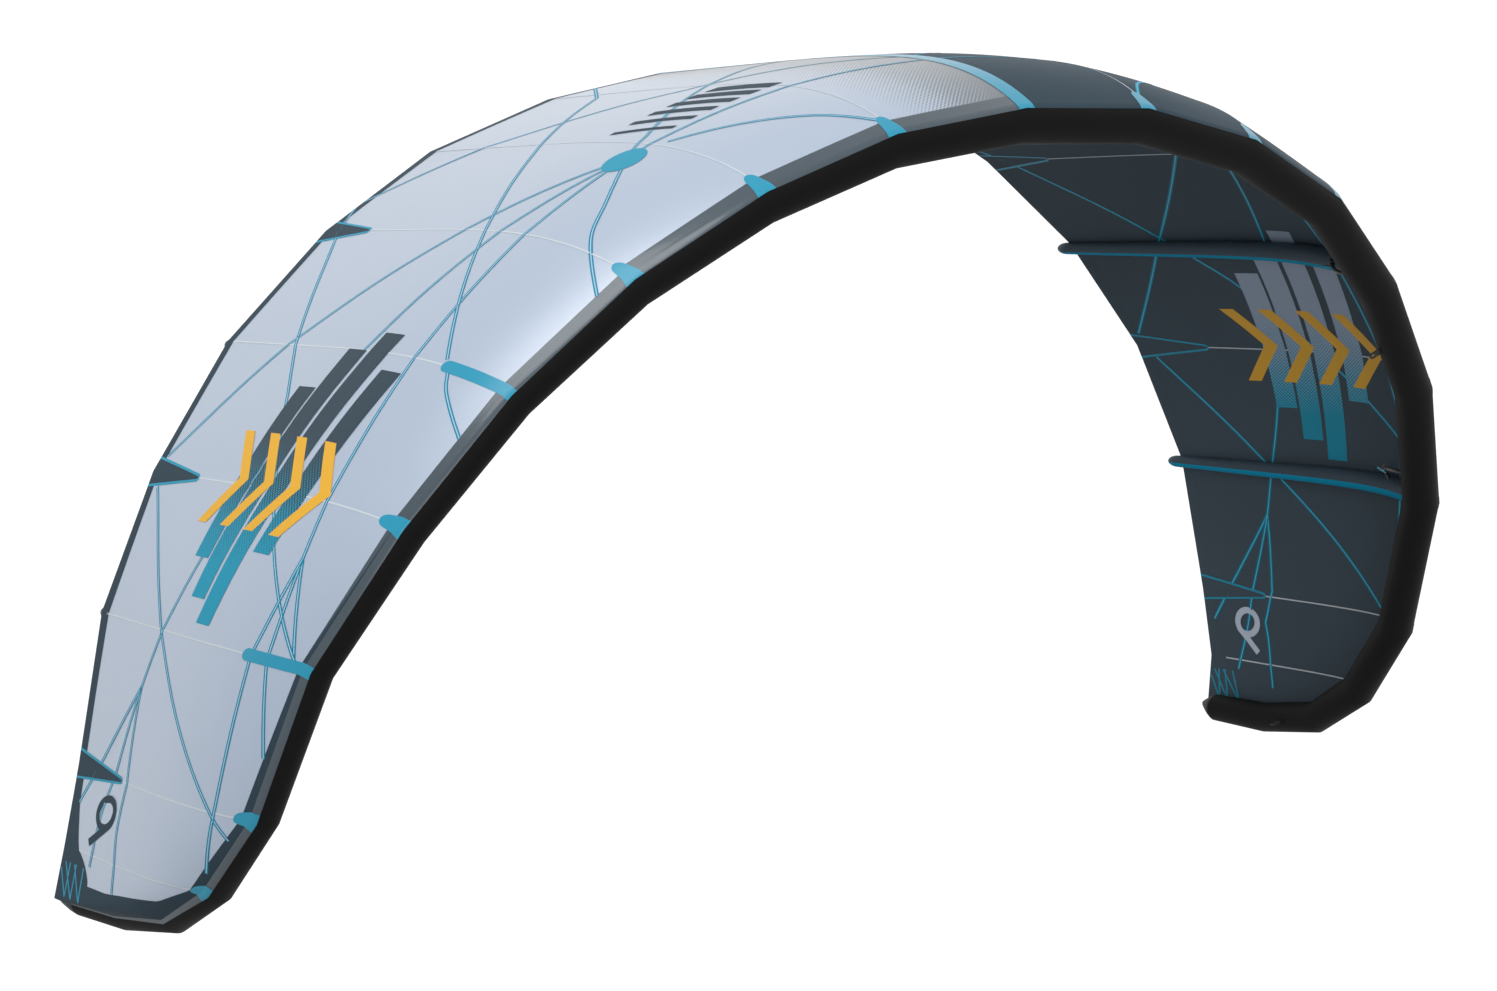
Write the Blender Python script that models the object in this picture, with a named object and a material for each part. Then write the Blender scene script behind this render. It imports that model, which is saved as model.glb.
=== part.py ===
"""A leading edge inflatable kitesurfing kite in its flying shape.

Metres, +Z up. The kite flies towards -Y, its struts run along +Y and its span along X.
The origin is the centre of the leading edge tube at the middle seam. Left is +X and
right is -X, as for someone who faces the way the kite flies.
"""
import math
from collections import namedtuple

import bmesh
import bpy
from mathutils import Matrix, Vector

# Leading edge, one entry for each stretch from the middle seam out to the tip.
# Drop is the slope seen from the front, sweep is how far the stretch turns back.
PANEL_WIDTH = 0.445
PANEL_WIDTH_SHARES = (1.0, 0.98, 0.98, 0.99, 1.0, 1.01, 1.02, 0.65, 0.5, 0.53, 0.5)
PANEL_DROP_DEG = (4.5, 16.0, 27.5, 41.0, 52.0, 63.0, 81.5, 84.0, 87.5, 88.0, 90.0)
PANEL_SWEEP_DEG = (1.0, 3.5, 9.0, 14.0, 16.0, 21.0, 22.0, 39.5, 58.5, 81.0, 89.0)

# Leading edge tube, one radius share for each seam and bend
TUBE_RADIUS = 0.062
TUBE_RADIUS_SHARES = (1.0, 0.98, 0.96, 0.94, 0.92, 0.91, 0.89, 0.87, 0.85, 0.79, 0.73, 0.66)
TUBE_SIDES = 24
TUBE_END_LENGTH = 0.09
TUBE_END_LEAN = 0.022
TUBE_END_SHARES = ((0.3, 0.8), (0.65, 0.48), (0.9, 0.22), (1.0, 0.07))
SLEEVE_WALL = 0.0015
SLEEVE_SPLITS = (0, 2, 4, 6)

# Canopy: chords at the seams, their yaw, and the section's height and shape
CENTRE_CHORD = 1.585
CHORD_SHARES = (1.0, 0.945, 0.94, 0.915, 0.85, 0.765, 0.66, 0.55, 0.44)
CHORD_YAW_DEG = (0.0, 1.0, 0.5, -1.0, -0.5, -0.5, -1.0, 0.5, 2.5)
TIP_CHORD = 0.085
CAMBER_SHARE = 0.063
CAMBER_POWER = 6
CANOPY_SEAT_DEG = 112.5
TIP_SEAT_DEG = 90.0
TIP_SEAT_STEP_DEG = 7.5
CANOPY_THICKNESS = 0.0015
CANOPY_BILLOW = 0.012
CHORD_STEPS = 2 * 6
CHORD_STEP_POWER = 1.5
SPAN_STEPS = 3

# Struts, by the seam that each lies under
STRUT_SEAMS = (0, 4, 6)
STRUT_FRONT_RADIUS = 0.036
STRUT_REAR_RADIUS = 0.018
STRUT_OVERHANG = 0.038
STRUT_SIDES = 12
STRUT_STEPS = 6
ROUND_END_SHARES = ((0.45, 0.92), (0.8, 0.68), (1.0, 0.3))

# Bladders inside the sleeves
BLADDER_WALL = 0.001
BLADDER_SIDES = 12
STRUT_BLADDER_SETBACK = 0.022
PORT_RADIUS = 0.006

# Hoses from the leading edge into the struts, with their pinch clips
HOSE_RADIUS = 0.006
HOSE_SEAM_DISTANCE = 0.105
HOSE_STRUT_DISTANCE = 0.185
HOSE_TUBE_DEG = -22.5
HOSE_STRUT_DEG = 105.0
HOSE_STUB = 0.012
HOSE_PULL = 0.045
HOSE_STEPS = 10
CLIP_RUN_SHARES = (0.45, 0.55)
CLIP_LENGTH = 0.018
CLIP_WALL = 0.003
CLIP_SIDE_ROOM = 0.0012
CLIP_ARM_HEIGHT = 0.0165
CLIP_FLOOR = 0.003
EAR_THICKNESS = 0.002
PROUD = 0.0005
LEVER_THICKNESS = 0.004
LEVER_OVERHANG = 0.010
LEVER_NOSE_WIDTH = 0.006

# Inflation valve, low on the back of the tube beside the middle strut
VALVE_SHARE = 0.5
VALVE_DEG = -37.5
VALVE_BORE_RADIUS = 0.012
VALVE_SEAT_RADIUS = 0.016
VALVE_SEAT_DEPTH = 0.006
VALVE_NECK_RADIUS = 0.019
VALVE_RIM_RADIUS = 0.026
VALVE_RIM_HEIGHT = 0.010
VALVE_RIM_THICKNESS = 0.004
VALVE_FLANGE_RADIUS = 0.028
VALVE_FLANGE_THICKNESS = 0.002
INSERT_FLANGE = 0.0022
INSERT_LENGTH = 0.014
INSERT_GRIP_WIDTH = 0.004
INSERT_GRIP_HEIGHT = 0.003
CAP_THICKNESS = 0.004
CAP_LUG_WIDTH = 0.012
CAP_PIVOT_SETBACK = 0.003
TURNED_SIDES = 20

# Webbing tabs for the lines
TAB_WIDTH = 0.024
TAB_LENGTH = 0.036
TAB_THICKNESS = 0.003
TAB_EYE_RADIUS = 0.006
TAB_SIDES = 16
FRONT_TAB_SEAM = 4
FRONT_TAB_DEG = 292.5
REAR_TAB_SEAM = 9
REAR_TAB_DEG = 262.5
TAB_SPAN_SHARE = 0.5

GAP = 0.0003
OVERRUN = 0.01
SIDES = (("left", 1), ("right", -1))
FLIP_X = (-1, 1, 1, 1)
FLIP_Y = (1, -1, 1, 1)

Station = namedtuple("Station", "centre along back out normal radius trailing")


def direction(drop_deg, sweep_deg):
    drop = math.radians(drop_deg)
    sweep = math.radians(sweep_deg)
    return Vector((math.cos(sweep) * math.cos(drop), math.sin(sweep),
                   -math.cos(sweep) * math.sin(drop)))


def mean_drop(index):
    """The slope at a seam lies halfway between the slopes of its two stretches."""
    if index == 0:
        return 0.0
    if index == len(PANEL_DROP_DEG):
        return PANEL_DROP_DEG[-1]
    return (PANEL_DROP_DEG[index - 1] + PANEL_DROP_DEG[index]) / 2


def tube_centres():
    centres = [Vector((0, 0, 0))]
    for share, drop, sweep in zip(PANEL_WIDTH_SHARES, PANEL_DROP_DEG, PANEL_SWEEP_DEG):
        centres.append(centres[-1] + PANEL_WIDTH * share * direction(drop, sweep))
    return centres


def trailing_points(centres):
    """Chord ends at the seams, then evenly along the tip's edge to its corner."""
    points = []
    for centre, share, yaw_deg in zip(centres, CHORD_SHARES, CHORD_YAW_DEG):
        yaw = math.radians(yaw_deg)
        points.append(centre + CENTRE_CHORD * share * Vector((math.sin(yaw), math.cos(yaw), 0)))
    outside = TUBE_RADIUS * TUBE_RADIUS_SHARES[-1]
    corner = centres[-1] + Vector((outside, TIP_CHORD, 0))
    last = points[-1]
    tip_count = len(centres) - len(points)
    for step in range(1, tip_count + 1):
        points.append(last.lerp(corner, step / tip_count))
    return points


def make_stations():
    centres = tube_centres()
    trailing = trailing_points(centres)
    headings = [direction(*pair) for pair in zip(PANEL_DROP_DEG, PANEL_SWEEP_DEG)]
    stations = []
    for index, centre in enumerate(centres):
        if index == 0:
            along = Vector((1, 0, 0))
        elif index == len(headings):
            along = headings[-1]
        else:
            along = (headings[index - 1] + headings[index]).normalized()
        slope = math.radians(mean_drop(index))
        normal = Vector((math.sin(slope), 0, math.cos(slope)))
        out = (normal - normal.dot(along) * along).normalized()
        back = out.cross(along)
        radius = TUBE_RADIUS * TUBE_RADIUS_SHARES[index]
        stations.append(Station(centre, along, back, out, normal, radius, trailing[index]))
    return stations


STATIONS = make_stations()
TIP = len(STATIONS) - 1
LAST_SEAM = len(CHORD_SHARES) - 1


def mirrored(point, side):
    return Vector((point.x * side, point.y, point.z))


def flipped(station):
    """The same station on the other wing, with its tangent still towards +X."""
    turn = Vector((-1, 1, 1))
    return Station(station.centre * turn, -(station.along * turn), station.back * turn,
                   station.out * turn, station.normal * turn, station.radius,
                   station.trailing * turn)


def station_at(index):
    return STATIONS[index] if index >= 0 else flipped(STATIONS[-index])


def radial(station, degrees):
    angle = math.radians(degrees)
    return math.cos(angle) * station.back + math.sin(angle) * station.out


def tube_flat(first, second, share, degrees):
    """One flat of the faceted tube: its middle, its run along the tube and its way out."""
    half = 180 / TUBE_SIDES
    edges = []
    for turn in (degrees - half, degrees + half):
        edges.append([station.centre + station.radius * radial(station, turn)
                      for station in (first, second)])
    low, high = edges
    run = (low[1] + high[1] - low[0] - high[0]).normalized()
    middle = (low[0].lerp(low[1], share) + high[0].lerp(high[1], share)) / 2
    out = run.cross(high[0] - low[0]).normalized()
    centre = first.centre.lerp(second.centre, share)
    return middle, run, out if out.dot(middle - centre) > 0 else -out


def tube_ring(station, radius, sides, shift=0.0):
    middle = station.centre + shift * station.along
    return [middle + radius * radial(station, 360 * k / sides) for k in range(sides)]


def material(name, colour, roughness, metallic=0.0):
    made = bpy.data.materials.new(name)
    made.use_nodes = True
    shader = made.node_tree.nodes["Principled BSDF"]
    shader.inputs["Base Color"].default_value = (*colour, 1)
    shader.inputs["Roughness"].default_value = roughness
    shader.inputs["Metallic"].default_value = metallic
    made.diffuse_color = (*colour, 1)
    return made


def add_object(name, mesh, look, parent=None):
    item = bpy.data.objects.new(name, mesh)
    bpy.context.scene.collection.objects.link(item)
    mesh.materials.append(look)
    if parent:
        item.parent = parent
    return item


def finish_mesh(name, shape):
    bmesh.ops.recalc_face_normals(shape, faces=shape.faces)
    mesh = bpy.data.meshes.new(name)
    shape.to_mesh(mesh)
    shape.free()
    return mesh


def smooth(mesh, sharp_deg=40.0):
    mesh.shade_smooth()
    mesh.set_sharp_from_angle(angle=math.radians(sharp_deg))


def loft_mesh(name, rings, looped=False):
    """Skin through rings of equal count; a looped skin joins its last ring to its first."""
    shape = bmesh.new()
    rows = [[shape.verts.new(point) for point in ring] for ring in rings]
    pairs = list(zip(rows, rows[1:]))
    if looped:
        pairs.append((rows[-1], rows[0]))
    for first, second in pairs:
        count = len(first)
        for k in range(count):
            following = (k + 1) % count
            shape.faces.new((first[k], first[following], second[following], second[k]))
    if not looped:
        shape.faces.new(rows[0])
        shape.faces.new(reversed(rows[-1]))
    return finish_mesh(name, shape)


def sheet_mesh(name, top, bottom):
    """A closed sheet from two grids of points, joined along their edges."""
    shape = bmesh.new()
    rows_top = [[shape.verts.new(point) for point in row] for row in top]
    rows_bottom = [[shape.verts.new(point) for point in row] for row in bottom]
    last_row = len(top) - 1
    last_column = len(top[0]) - 1
    for i in range(last_row):
        for j in range(last_column):
            for rows in (rows_top, rows_bottom):
                shape.faces.new((rows[i][j], rows[i][j + 1], rows[i + 1][j + 1], rows[i + 1][j]))
    edge = [(0, j) for j in range(last_column)]
    edge += [(i, last_column) for i in range(last_row)]
    edge += [(last_row, j) for j in range(last_column, 0, -1)]
    edge += [(i, 0) for i in range(last_row, 0, -1)]
    for (i, j), (k, m) in zip(edge, edge[1:] + edge[:1]):
        shape.faces.new((rows_top[i][j], rows_top[k][m], rows_bottom[k][m], rows_bottom[i][j]))
    return finish_mesh(name, shape)


def cut(target, cutter_mesh, operation="DIFFERENCE"):
    """Apply one Boolean and drop its tool."""
    tool = bpy.data.objects.new("tool", cutter_mesh)
    bpy.context.scene.collection.objects.link(tool)
    step = target.modifiers.new("step", "BOOLEAN")
    step.operation = operation
    step.solver = "EXACT"
    step.object = tool
    bpy.context.view_layer.update()
    graph = bpy.context.evaluated_depsgraph_get()
    result = bpy.data.meshes.new_from_object(target.evaluated_get(graph))
    target.modifiers.clear()
    target.data = result
    bpy.data.objects.remove(tool)


def closed_end(middle, heading, ring, shares):
    """Rings that close a tube's end, at shares of the heading and of the ring's size."""
    return [[middle + heading * reach + (point - middle) * share for point in ring]
            for reach, share in shares]


def tube_end(ring, inset):
    """Rings of the leading edge's end, a cone that leans out to the canopy's corner."""
    tip = STATIONS[TIP]
    heading = tip.along * (TUBE_END_LENGTH - inset) + tip.out * TUBE_END_LEAN
    return closed_end(tip.centre, heading, ring, TUBE_END_SHARES)


def sleeve_rings(first, last, inset):
    """Rings of a leading edge sleeve from one seam to another, half a gap short of each."""
    rings = []
    for index in range(first, last + 1):
        station = STATIONS[index]
        shift = 0.0
        if index == first:
            shift = GAP / 2
        elif index == last and last != TIP:
            shift = -GAP / 2
        rings.append(tube_ring(station, station.radius - inset, TUBE_SIDES, shift))
    if last == TIP:
        rings += tube_end(rings[-1], inset)
    return rings


def make_sleeves(look):
    for word, side in SIDES:
        for number, first in enumerate(SLEEVE_SPLITS, 1):
            at_tip = number == len(SLEEVE_SPLITS)
            last = TIP if at_tip else SLEEVE_SPLITS[number]
            outer = sleeve_rings(first, last, 0.0)
            inner = sleeve_rings(first, last, SLEEVE_WALL)
            rings = outer[::-1] + inner
            rings = [[mirrored(point, side) for point in ring] for ring in rings]
            name = f"leading_edge_tip_{word}" if at_tip else f"leading_edge_sleeve_{word}_{number}"
            mesh = loft_mesh(name, rings, looped=not at_tip)
            smooth(mesh)
            add_object(name, mesh, look)


def section(share):
    """An arch that is round at the front, nearly flat behind and hollow nowhere."""
    return 1 - share - (1 - share) ** CAMBER_POWER


def camber(share):
    """Height of the section, 1 at its highest point."""
    highest = 1 - (1 / CAMBER_POWER) ** (1 / (CAMBER_POWER - 1))
    return section(share) / section(highest)


def canopy_point(station, share):
    """A point of the canopy's upper face along the seam, from the tube to the back edge."""
    seat = station.radius + GAP + CANOPY_THICKNESS
    lowered = max(STATIONS.index(station) - LAST_SEAM + 1, 0) * TIP_SEAT_STEP_DEG
    front = station.centre + seat * radial(station, max(CANOPY_SEAT_DEG - lowered, TIP_SEAT_DEG))
    chord = station.trailing - front
    height = CAMBER_SHARE * chord.length * camber(share)
    return front + chord * share + station.normal * height


def chord_shares(steps):
    """Closer together at the front, where the section curves most."""
    return [(k / steps) ** CHORD_STEP_POWER for k in range(steps + 1)]


def panel_grids(stations):
    """Upper and lower grids of a canopy panel that spans the given stations."""
    spans = len(stations) - 1
    steps = SPAN_STEPS if spans == 1 else spans
    width = sum((b.centre - a.centre).length for a, b in zip(stations, stations[1:]))
    trim = GAP / 2 / width
    top = []
    bottom = []
    for k in range(steps + 1):
        place = min(max(k / steps, trim), 1 - trim)
        spot = min(int(place * spans), spans - 1)
        share = place * spans - spot
        first = stations[spot]
        second = stations[spot + 1]
        normal = first.normal.lerp(second.normal, share).normalized()
        swell = CANOPY_BILLOW * math.sin(math.pi * place) if spans == 1 else 0.0
        row = []
        for along in chord_shares(CHORD_STEPS):
            point = canopy_point(first, along).lerp(canopy_point(second, along), share)
            row.append(point + normal * swell * math.sin(math.pi * along))
        top.append(row)
        bottom.append([point - normal * CANOPY_THICKNESS for point in row])
    return top, bottom


def make_canopy(looks):
    for word, side in SIDES:
        for number in range(1, LAST_SEAM + 2):
            last = number if number <= LAST_SEAM else TIP
            top, bottom = panel_grids(STATIONS[number - 1:last + 1])
            grids = [[[mirrored(point, side) for point in row] for row in grid]
                     for grid in (top, bottom)]
            name = f"canopy_panel_{word}_{number}"
            mesh = sheet_mesh(name, *grids)
            smooth(mesh)
            add_object(name, mesh, looks[word])


def seam_lift(seam):
    """Extra drop that clears a round strut from the ridge of the two panels above it."""
    if seam == 0:
        bend = 2 * PANEL_DROP_DEG[0]
    else:
        bend = PANEL_DROP_DEG[seam] - PANEL_DROP_DEG[seam - 1]
    return 1 / math.cos(math.radians(bend / 2))


def strut_radius(share):
    return STRUT_FRONT_RADIUS + share * (STRUT_REAR_RADIUS - STRUT_FRONT_RADIUS)


def seam_frame(seam, share):
    """Heading along the seam, across it, and out through the canopy."""
    station = STATIONS[seam]
    step = 1 / (4 * CHORD_STEPS)
    low = canopy_point(station, max(share - step, 0.0))
    high = canopy_point(station, min(share + step, 1.0))
    heading = (high - low).normalized()
    across = heading.cross(station.normal).normalized()
    return heading, across, across.cross(heading)


def strut_middle(seam, share):
    heading, across, up = seam_frame(seam, share)
    depth = CANOPY_THICKNESS + (strut_radius(share) + 2 * GAP) * seam_lift(seam)
    return canopy_point(STATIONS[seam], share) - up * depth


def strut_shares():
    """A strut bends at every second point of the canopy above it, so it stays below."""
    return chord_shares(CHORD_STEPS)[::CHORD_STEPS // STRUT_STEPS]


def strut_rings(seam, inset):
    rings = []
    for share in strut_shares():
        heading, across, up = seam_frame(seam, share)
        middle = strut_middle(seam, share)
        radius = strut_radius(share) - inset
        rings.append([middle + radius * (math.cos(2 * math.pi * k / STRUT_SIDES) * up
                                         + math.sin(2 * math.pi * k / STRUT_SIDES) * across)
                      for k in range(STRUT_SIDES)])
    heading = seam_frame(seam, 1.0)[0]
    end = strut_middle(seam, 1.0)
    overhang = heading * (STRUT_OVERHANG - inset)
    return rings + closed_end(end, overhang, rings[-1], ROUND_END_SHARES)


def strut_spot(seam, distance):
    """Middle, radius, across and up of a strut at a distance behind the tube's centre."""
    shares = strut_shares()
    middles = [strut_middle(seam, share) for share in shares]
    reaches = [middle.y - STATIONS[seam].centre.y for middle in middles]
    k = max(index for index, reach in enumerate(reaches[:-1]) if reach <= distance)
    part = (distance - reaches[k]) / (reaches[k + 1] - reaches[k])
    heading = (middles[k + 1] - middles[k]).normalized()
    across = heading.cross(STATIONS[seam].normal).normalized()
    radius = strut_radius(shares[k] + part * (shares[k + 1] - shares[k]))
    return middles[k].lerp(middles[k + 1], part), radius, across, across.cross(heading)


def strut_names():
    """Name, seam and side of each strut, from the left tip to the right one."""
    names = [("middle", 0, 1)]
    for seam, place in zip(STRUT_SEAMS[1:], ("inner", "outer")):
        names += [(f"{word}_{place}", seam, side) for word, side in SIDES]
    return names


def tube_tool(seam):
    """The leading edge around a seam, grown by the gap, as a cutting tool."""
    rings = []
    for index in (seam - 1, seam, seam + 1):
        station = station_at(index)
        rings.append(tube_ring(station, station.radius + GAP, TUBE_SIDES))
    return rings


def make_struts(look):
    for word, seam, side in strut_names():
        rings = strut_rings(seam, 0.0)[::-1] + strut_rings(seam, SLEEVE_WALL)
        rings = [[mirrored(point, side) for point in ring] for ring in rings]
        name = f"strut_sleeve_{word}"
        item = add_object(name, loft_mesh(name, rings), look)
        tool = [[mirrored(point, side) for point in ring] for ring in tube_tool(seam)]
        cut(item, loft_mesh("tool", tool))
        smooth(item.data)


def blend_rings(first, second, share):
    return [a.lerp(b, share) for a, b in zip(first, second)]


def scaled_ring(ring, radius):
    middle = sum(ring, Vector()) / len(ring)
    return [middle + (point - middle).normalized() * radius for point in ring]


def make_strut_bladders(look):
    for word, seam, side in strut_names():
        station = STATIONS[seam]
        outer = strut_rings(seam, SLEEVE_WALL + GAP)
        inner = strut_rings(seam, SLEEVE_WALL + GAP + BLADDER_WALL)
        reach = (strut_middle(seam, strut_shares()[1]) - strut_middle(seam, 0.0)).length
        start = (station.radius + STRUT_BLADDER_SETBACK) / reach
        deeper = start + BLADDER_WALL / reach
        port = scaled_ring(blend_rings(outer[0], outer[1], start), PORT_RADIUS)
        port_inner = scaled_ring(blend_rings(inner[0], inner[1], deeper), PORT_RADIUS)
        outer[0] = blend_rings(outer[0], outer[1], start)
        inner[0] = blend_rings(inner[0], inner[1], deeper)
        rings = outer[::-1] + [port, port_inner] + inner
        rings = [[mirrored(point, side) for point in ring] for ring in rings]
        name = f"strut_bladder_{word}"
        mesh = loft_mesh(name, rings)
        smooth(mesh)
        add_object(name, mesh, look)


def bladder_rings(inset):
    half = []
    for station in STATIONS:
        radius = (station.radius - inset) * math.cos(math.pi / TUBE_SIDES)
        half.append(tube_ring(station, radius, BLADDER_SIDES))
    half += tube_end(half[-1], inset)
    other = [[mirrored(point, -1) for point in ring] for ring in half[1:]]
    return other[::-1] + half


def valve_radius():
    """From the tube's axis to the flat that carries the valve."""
    first, second = STATIONS[0], STATIONS[1]
    radius = first.radius + VALVE_SHARE * (second.radius - first.radius)
    return radius * math.cos(math.pi / TUBE_SIDES)


def valve_matrix():
    """The valve's own frame, on the tube's axis: Z out of the tube and X along it."""
    middle, run, out = tube_flat(STATIONS[0], STATIONS[1], VALVE_SHARE, VALVE_DEG)
    frame = Matrix((run, out.cross(run), out)).transposed().to_4x4()
    frame.translation = middle - out * valve_radius()
    return frame


def turned(name, outline, frame, sides=TURNED_SIDES, bored=False):
    """Turn an outline of radius and height pairs round the frame's Z axis."""
    rings = []
    for radius, height in outline:
        rings.append([frame @ Vector((radius * math.cos(2 * math.pi * k / sides),
                                      radius * math.sin(2 * math.pi * k / sides), height))
                      for k in range(sides)])
    return loft_mesh(name, rings, looped=bored)


def box_mesh(name, frame, low, high):
    corners = [Vector(((low, high)[(k >> 2) & 1].x, (low, high)[(k >> 1) & 1].y,
                       (low, high)[k & 1].z)) for k in range(8)]
    points = [frame @ corner for corner in corners]
    order = (0, 1, 3, 2), (4, 5, 7, 6)
    return loft_mesh(name, [[points[k] for k in ring] for ring in order])


def make_leading_bladder(look):
    clear = SLEEVE_WALL + GAP
    outer = bladder_rings(clear)
    inner = bladder_rings(clear + BLADDER_WALL)
    item = add_object("leading_edge_bladder", loft_mesh("leading_edge_bladder", outer), look)
    cut(item, loft_mesh("tool", inner))
    hole = VALVE_NECK_RADIUS + GAP
    height = valve_radius() + OVERRUN
    cut(item, turned("tool", ((hole, 0.0), (hole, height)), valve_matrix()))
    smooth(item.data)


def make_valve(look, accent):
    frame = valve_matrix()
    top = valve_radius() + VALVE_RIM_HEIGHT
    inside = (valve_radius() - SLEEVE_WALL - GAP - BLADDER_WALL) * math.cos(math.pi / BLADDER_SIDES)
    deep = math.sqrt(inside ** 2 - VALVE_FLANGE_RADIUS ** 2) - 2 * GAP
    flange_low = deep - VALVE_FLANGE_THICKNESS
    rim_low = top - VALVE_RIM_THICKNESS
    seat = top - VALVE_SEAT_DEPTH
    outline = ((VALVE_BORE_RADIUS, flange_low), (VALVE_FLANGE_RADIUS, flange_low),
               (VALVE_FLANGE_RADIUS, deep), (VALVE_NECK_RADIUS, deep),
               (VALVE_NECK_RADIUS, rim_low), (VALVE_RIM_RADIUS, rim_low),
               (VALVE_RIM_RADIUS, top), (VALVE_SEAT_RADIUS, top),
               (VALVE_SEAT_RADIUS, seat), (VALVE_BORE_RADIUS, seat))
    mesh = turned("valve_base", outline, frame, bored=True)
    smooth(mesh)
    add_object("valve_base", mesh, look)
    make_insert(frame, seat, accent)
    make_cap(frame, top, look)


def at_frame(item, frame):
    """Give an object its origin at a frame while its points stay where they are."""
    item.data.transform(frame.inverted())
    item.matrix_world = frame


def make_insert(frame, seat, look):
    floor = seat + GAP
    flange = floor + INSERT_FLANGE
    outline = ((VALVE_BORE_RADIUS - GAP, seat - INSERT_LENGTH), (VALVE_BORE_RADIUS - GAP, floor),
               (VALVE_SEAT_RADIUS - GAP, floor), (VALVE_SEAT_RADIUS - GAP, flange))
    item = add_object("valve_insert", turned("valve_insert", outline, frame), look)
    half = VALVE_BORE_RADIUS - GAP
    low = Vector((-half, -INSERT_GRIP_WIDTH / 2, flange - INSERT_FLANGE / 2))
    high = Vector((half, INSERT_GRIP_WIDTH / 2, flange + INSERT_GRIP_HEIGHT))
    cut(item, box_mesh("tool", frame, low, high), "UNION")
    smooth(item.data)
    at_frame(item, frame)


def make_cap(frame, top, look):
    floor = top + GAP
    ceiling = floor + CAP_THICKNESS
    rim = VALVE_RIM_RADIUS
    soft = CAP_THICKNESS / 4
    outline = ((rim, floor), (rim, ceiling - soft), (rim - soft, ceiling))
    item = add_object("valve_cap", turned("valve_cap", outline, frame), look)
    half = CAP_THICKNESS / 2
    bead = half - PROUD
    pivot = rim + CAP_PIVOT_SETBACK
    lug = []
    for end in (-1, 1):
        ring = [Vector((rim - CAP_PIVOT_SETBACK, end * CAP_LUG_WIDTH / 2, floor + half - bead)),
                Vector((rim - CAP_PIVOT_SETBACK, end * CAP_LUG_WIDTH / 2, floor + half + bead))]
        ring += [Vector((pivot + bead * math.cos(angle), end * CAP_LUG_WIDTH / 2,
                         floor + half + bead * math.sin(angle)))
                 for angle in (math.pi / 2, math.pi / 4, 0, -math.pi / 4, -math.pi / 2)]
        lug.append([frame @ point for point in ring])
    cut(item, loft_mesh("tool", lug), "UNION")
    smooth(item.data)
    hinge = frame @ Matrix.Translation((pivot, 0, floor + half))
    at_frame(item, hinge)


def cut_valve_hole():
    sleeve = bpy.data.objects["leading_edge_sleeve_left_1"]
    hole = VALVE_NECK_RADIUS + GAP
    height = valve_radius() + OVERRUN
    cut(sleeve, turned("tool", ((hole, 0.0), (hole, height)), valve_matrix()))
    smooth(sleeve.data)


def hose_ends(seam):
    """Where a hose leaves the tube and enters its strut, with the way out of each."""
    station = STATIONS[seam]
    neighbour = STATIONS[1] if seam == 0 else STATIONS[seam - 1]
    span = (neighbour.centre - station.centre).length
    start, run, leave = tube_flat(station, neighbour, HOSE_SEAM_DISTANCE / span, HOSE_TUBE_DEG)
    start = start + leave * GAP
    middle, radius, across, up = strut_spot(seam, HOSE_STRUT_DISTANCE)
    facing = 1 if (neighbour.centre - station.centre).dot(across) > 0 else -1
    angle = math.radians(HOSE_STRUT_DEG)
    enter = math.cos(angle) * up + facing * math.sin(angle) * across
    reach = radius * math.cos(math.pi / STRUT_SIDES) + GAP
    return start, leave, middle + enter * reach, enter


def hose_point(ends, share):
    """Cubic curve between the straight stubs that leave both sleeves squarely."""
    start, leave, stop, enter = ends
    points = [start + leave * HOSE_STUB, start + leave * (HOSE_STUB + HOSE_PULL),
              stop + enter * (HOSE_STUB + HOSE_PULL), stop + enter * HOSE_STUB]
    while len(points) > 1:
        points = [first.lerp(second, share) for first, second in zip(points, points[1:])]
    return points[0]


def hose_route(ends):
    start, leave, stop, enter = ends
    return [start] + [hose_point(ends, k / HOSE_STEPS) for k in range(HOSE_STEPS + 1)] + [stop]


def clip_frame(ends):
    """A clip's frame at the middle of its hose: X along the hose, Z away from the canopy."""
    low, high = [hose_point(ends, share) for share in CLIP_RUN_SHARES]
    along = (high - low).normalized()
    start, leave, stop, enter = ends
    away = leave.cross(enter)
    away = (away - away.dot(along) * along).normalized()
    if away.z > 0:
        away = -away
    across = away.cross(along)
    frame = Matrix((along, across, away)).transposed().to_4x4()
    frame.translation = hose_point(ends, sum(CLIP_RUN_SHARES) / 2)
    return frame


def turned_over(frame, side, flip):
    """The frame of the same piece on the other wing, right-handed by one flipped axis."""
    if side > 0:
        return frame.copy()
    return Matrix.Diagonal((-1, 1, 1, 1)) @ frame @ Matrix.Diagonal(flip)


def make_hoses(look):
    for word, seam, side in strut_names():
        name = f"inflation_hose_{word}"
        path = bpy.data.curves.new(name, "CURVE")
        path.dimensions = "3D"
        path.bevel_depth = HOSE_RADIUS
        path.bevel_resolution = 1
        path.use_fill_caps = True
        line = path.splines.new("POLY")
        route = hose_route(hose_ends(seam))
        line.points.add(len(route) - 1)
        for knot, point in zip(line.points, route):
            knot.co = (*mirrored(point, side), 1)
        add_object(name, path, look)


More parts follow.
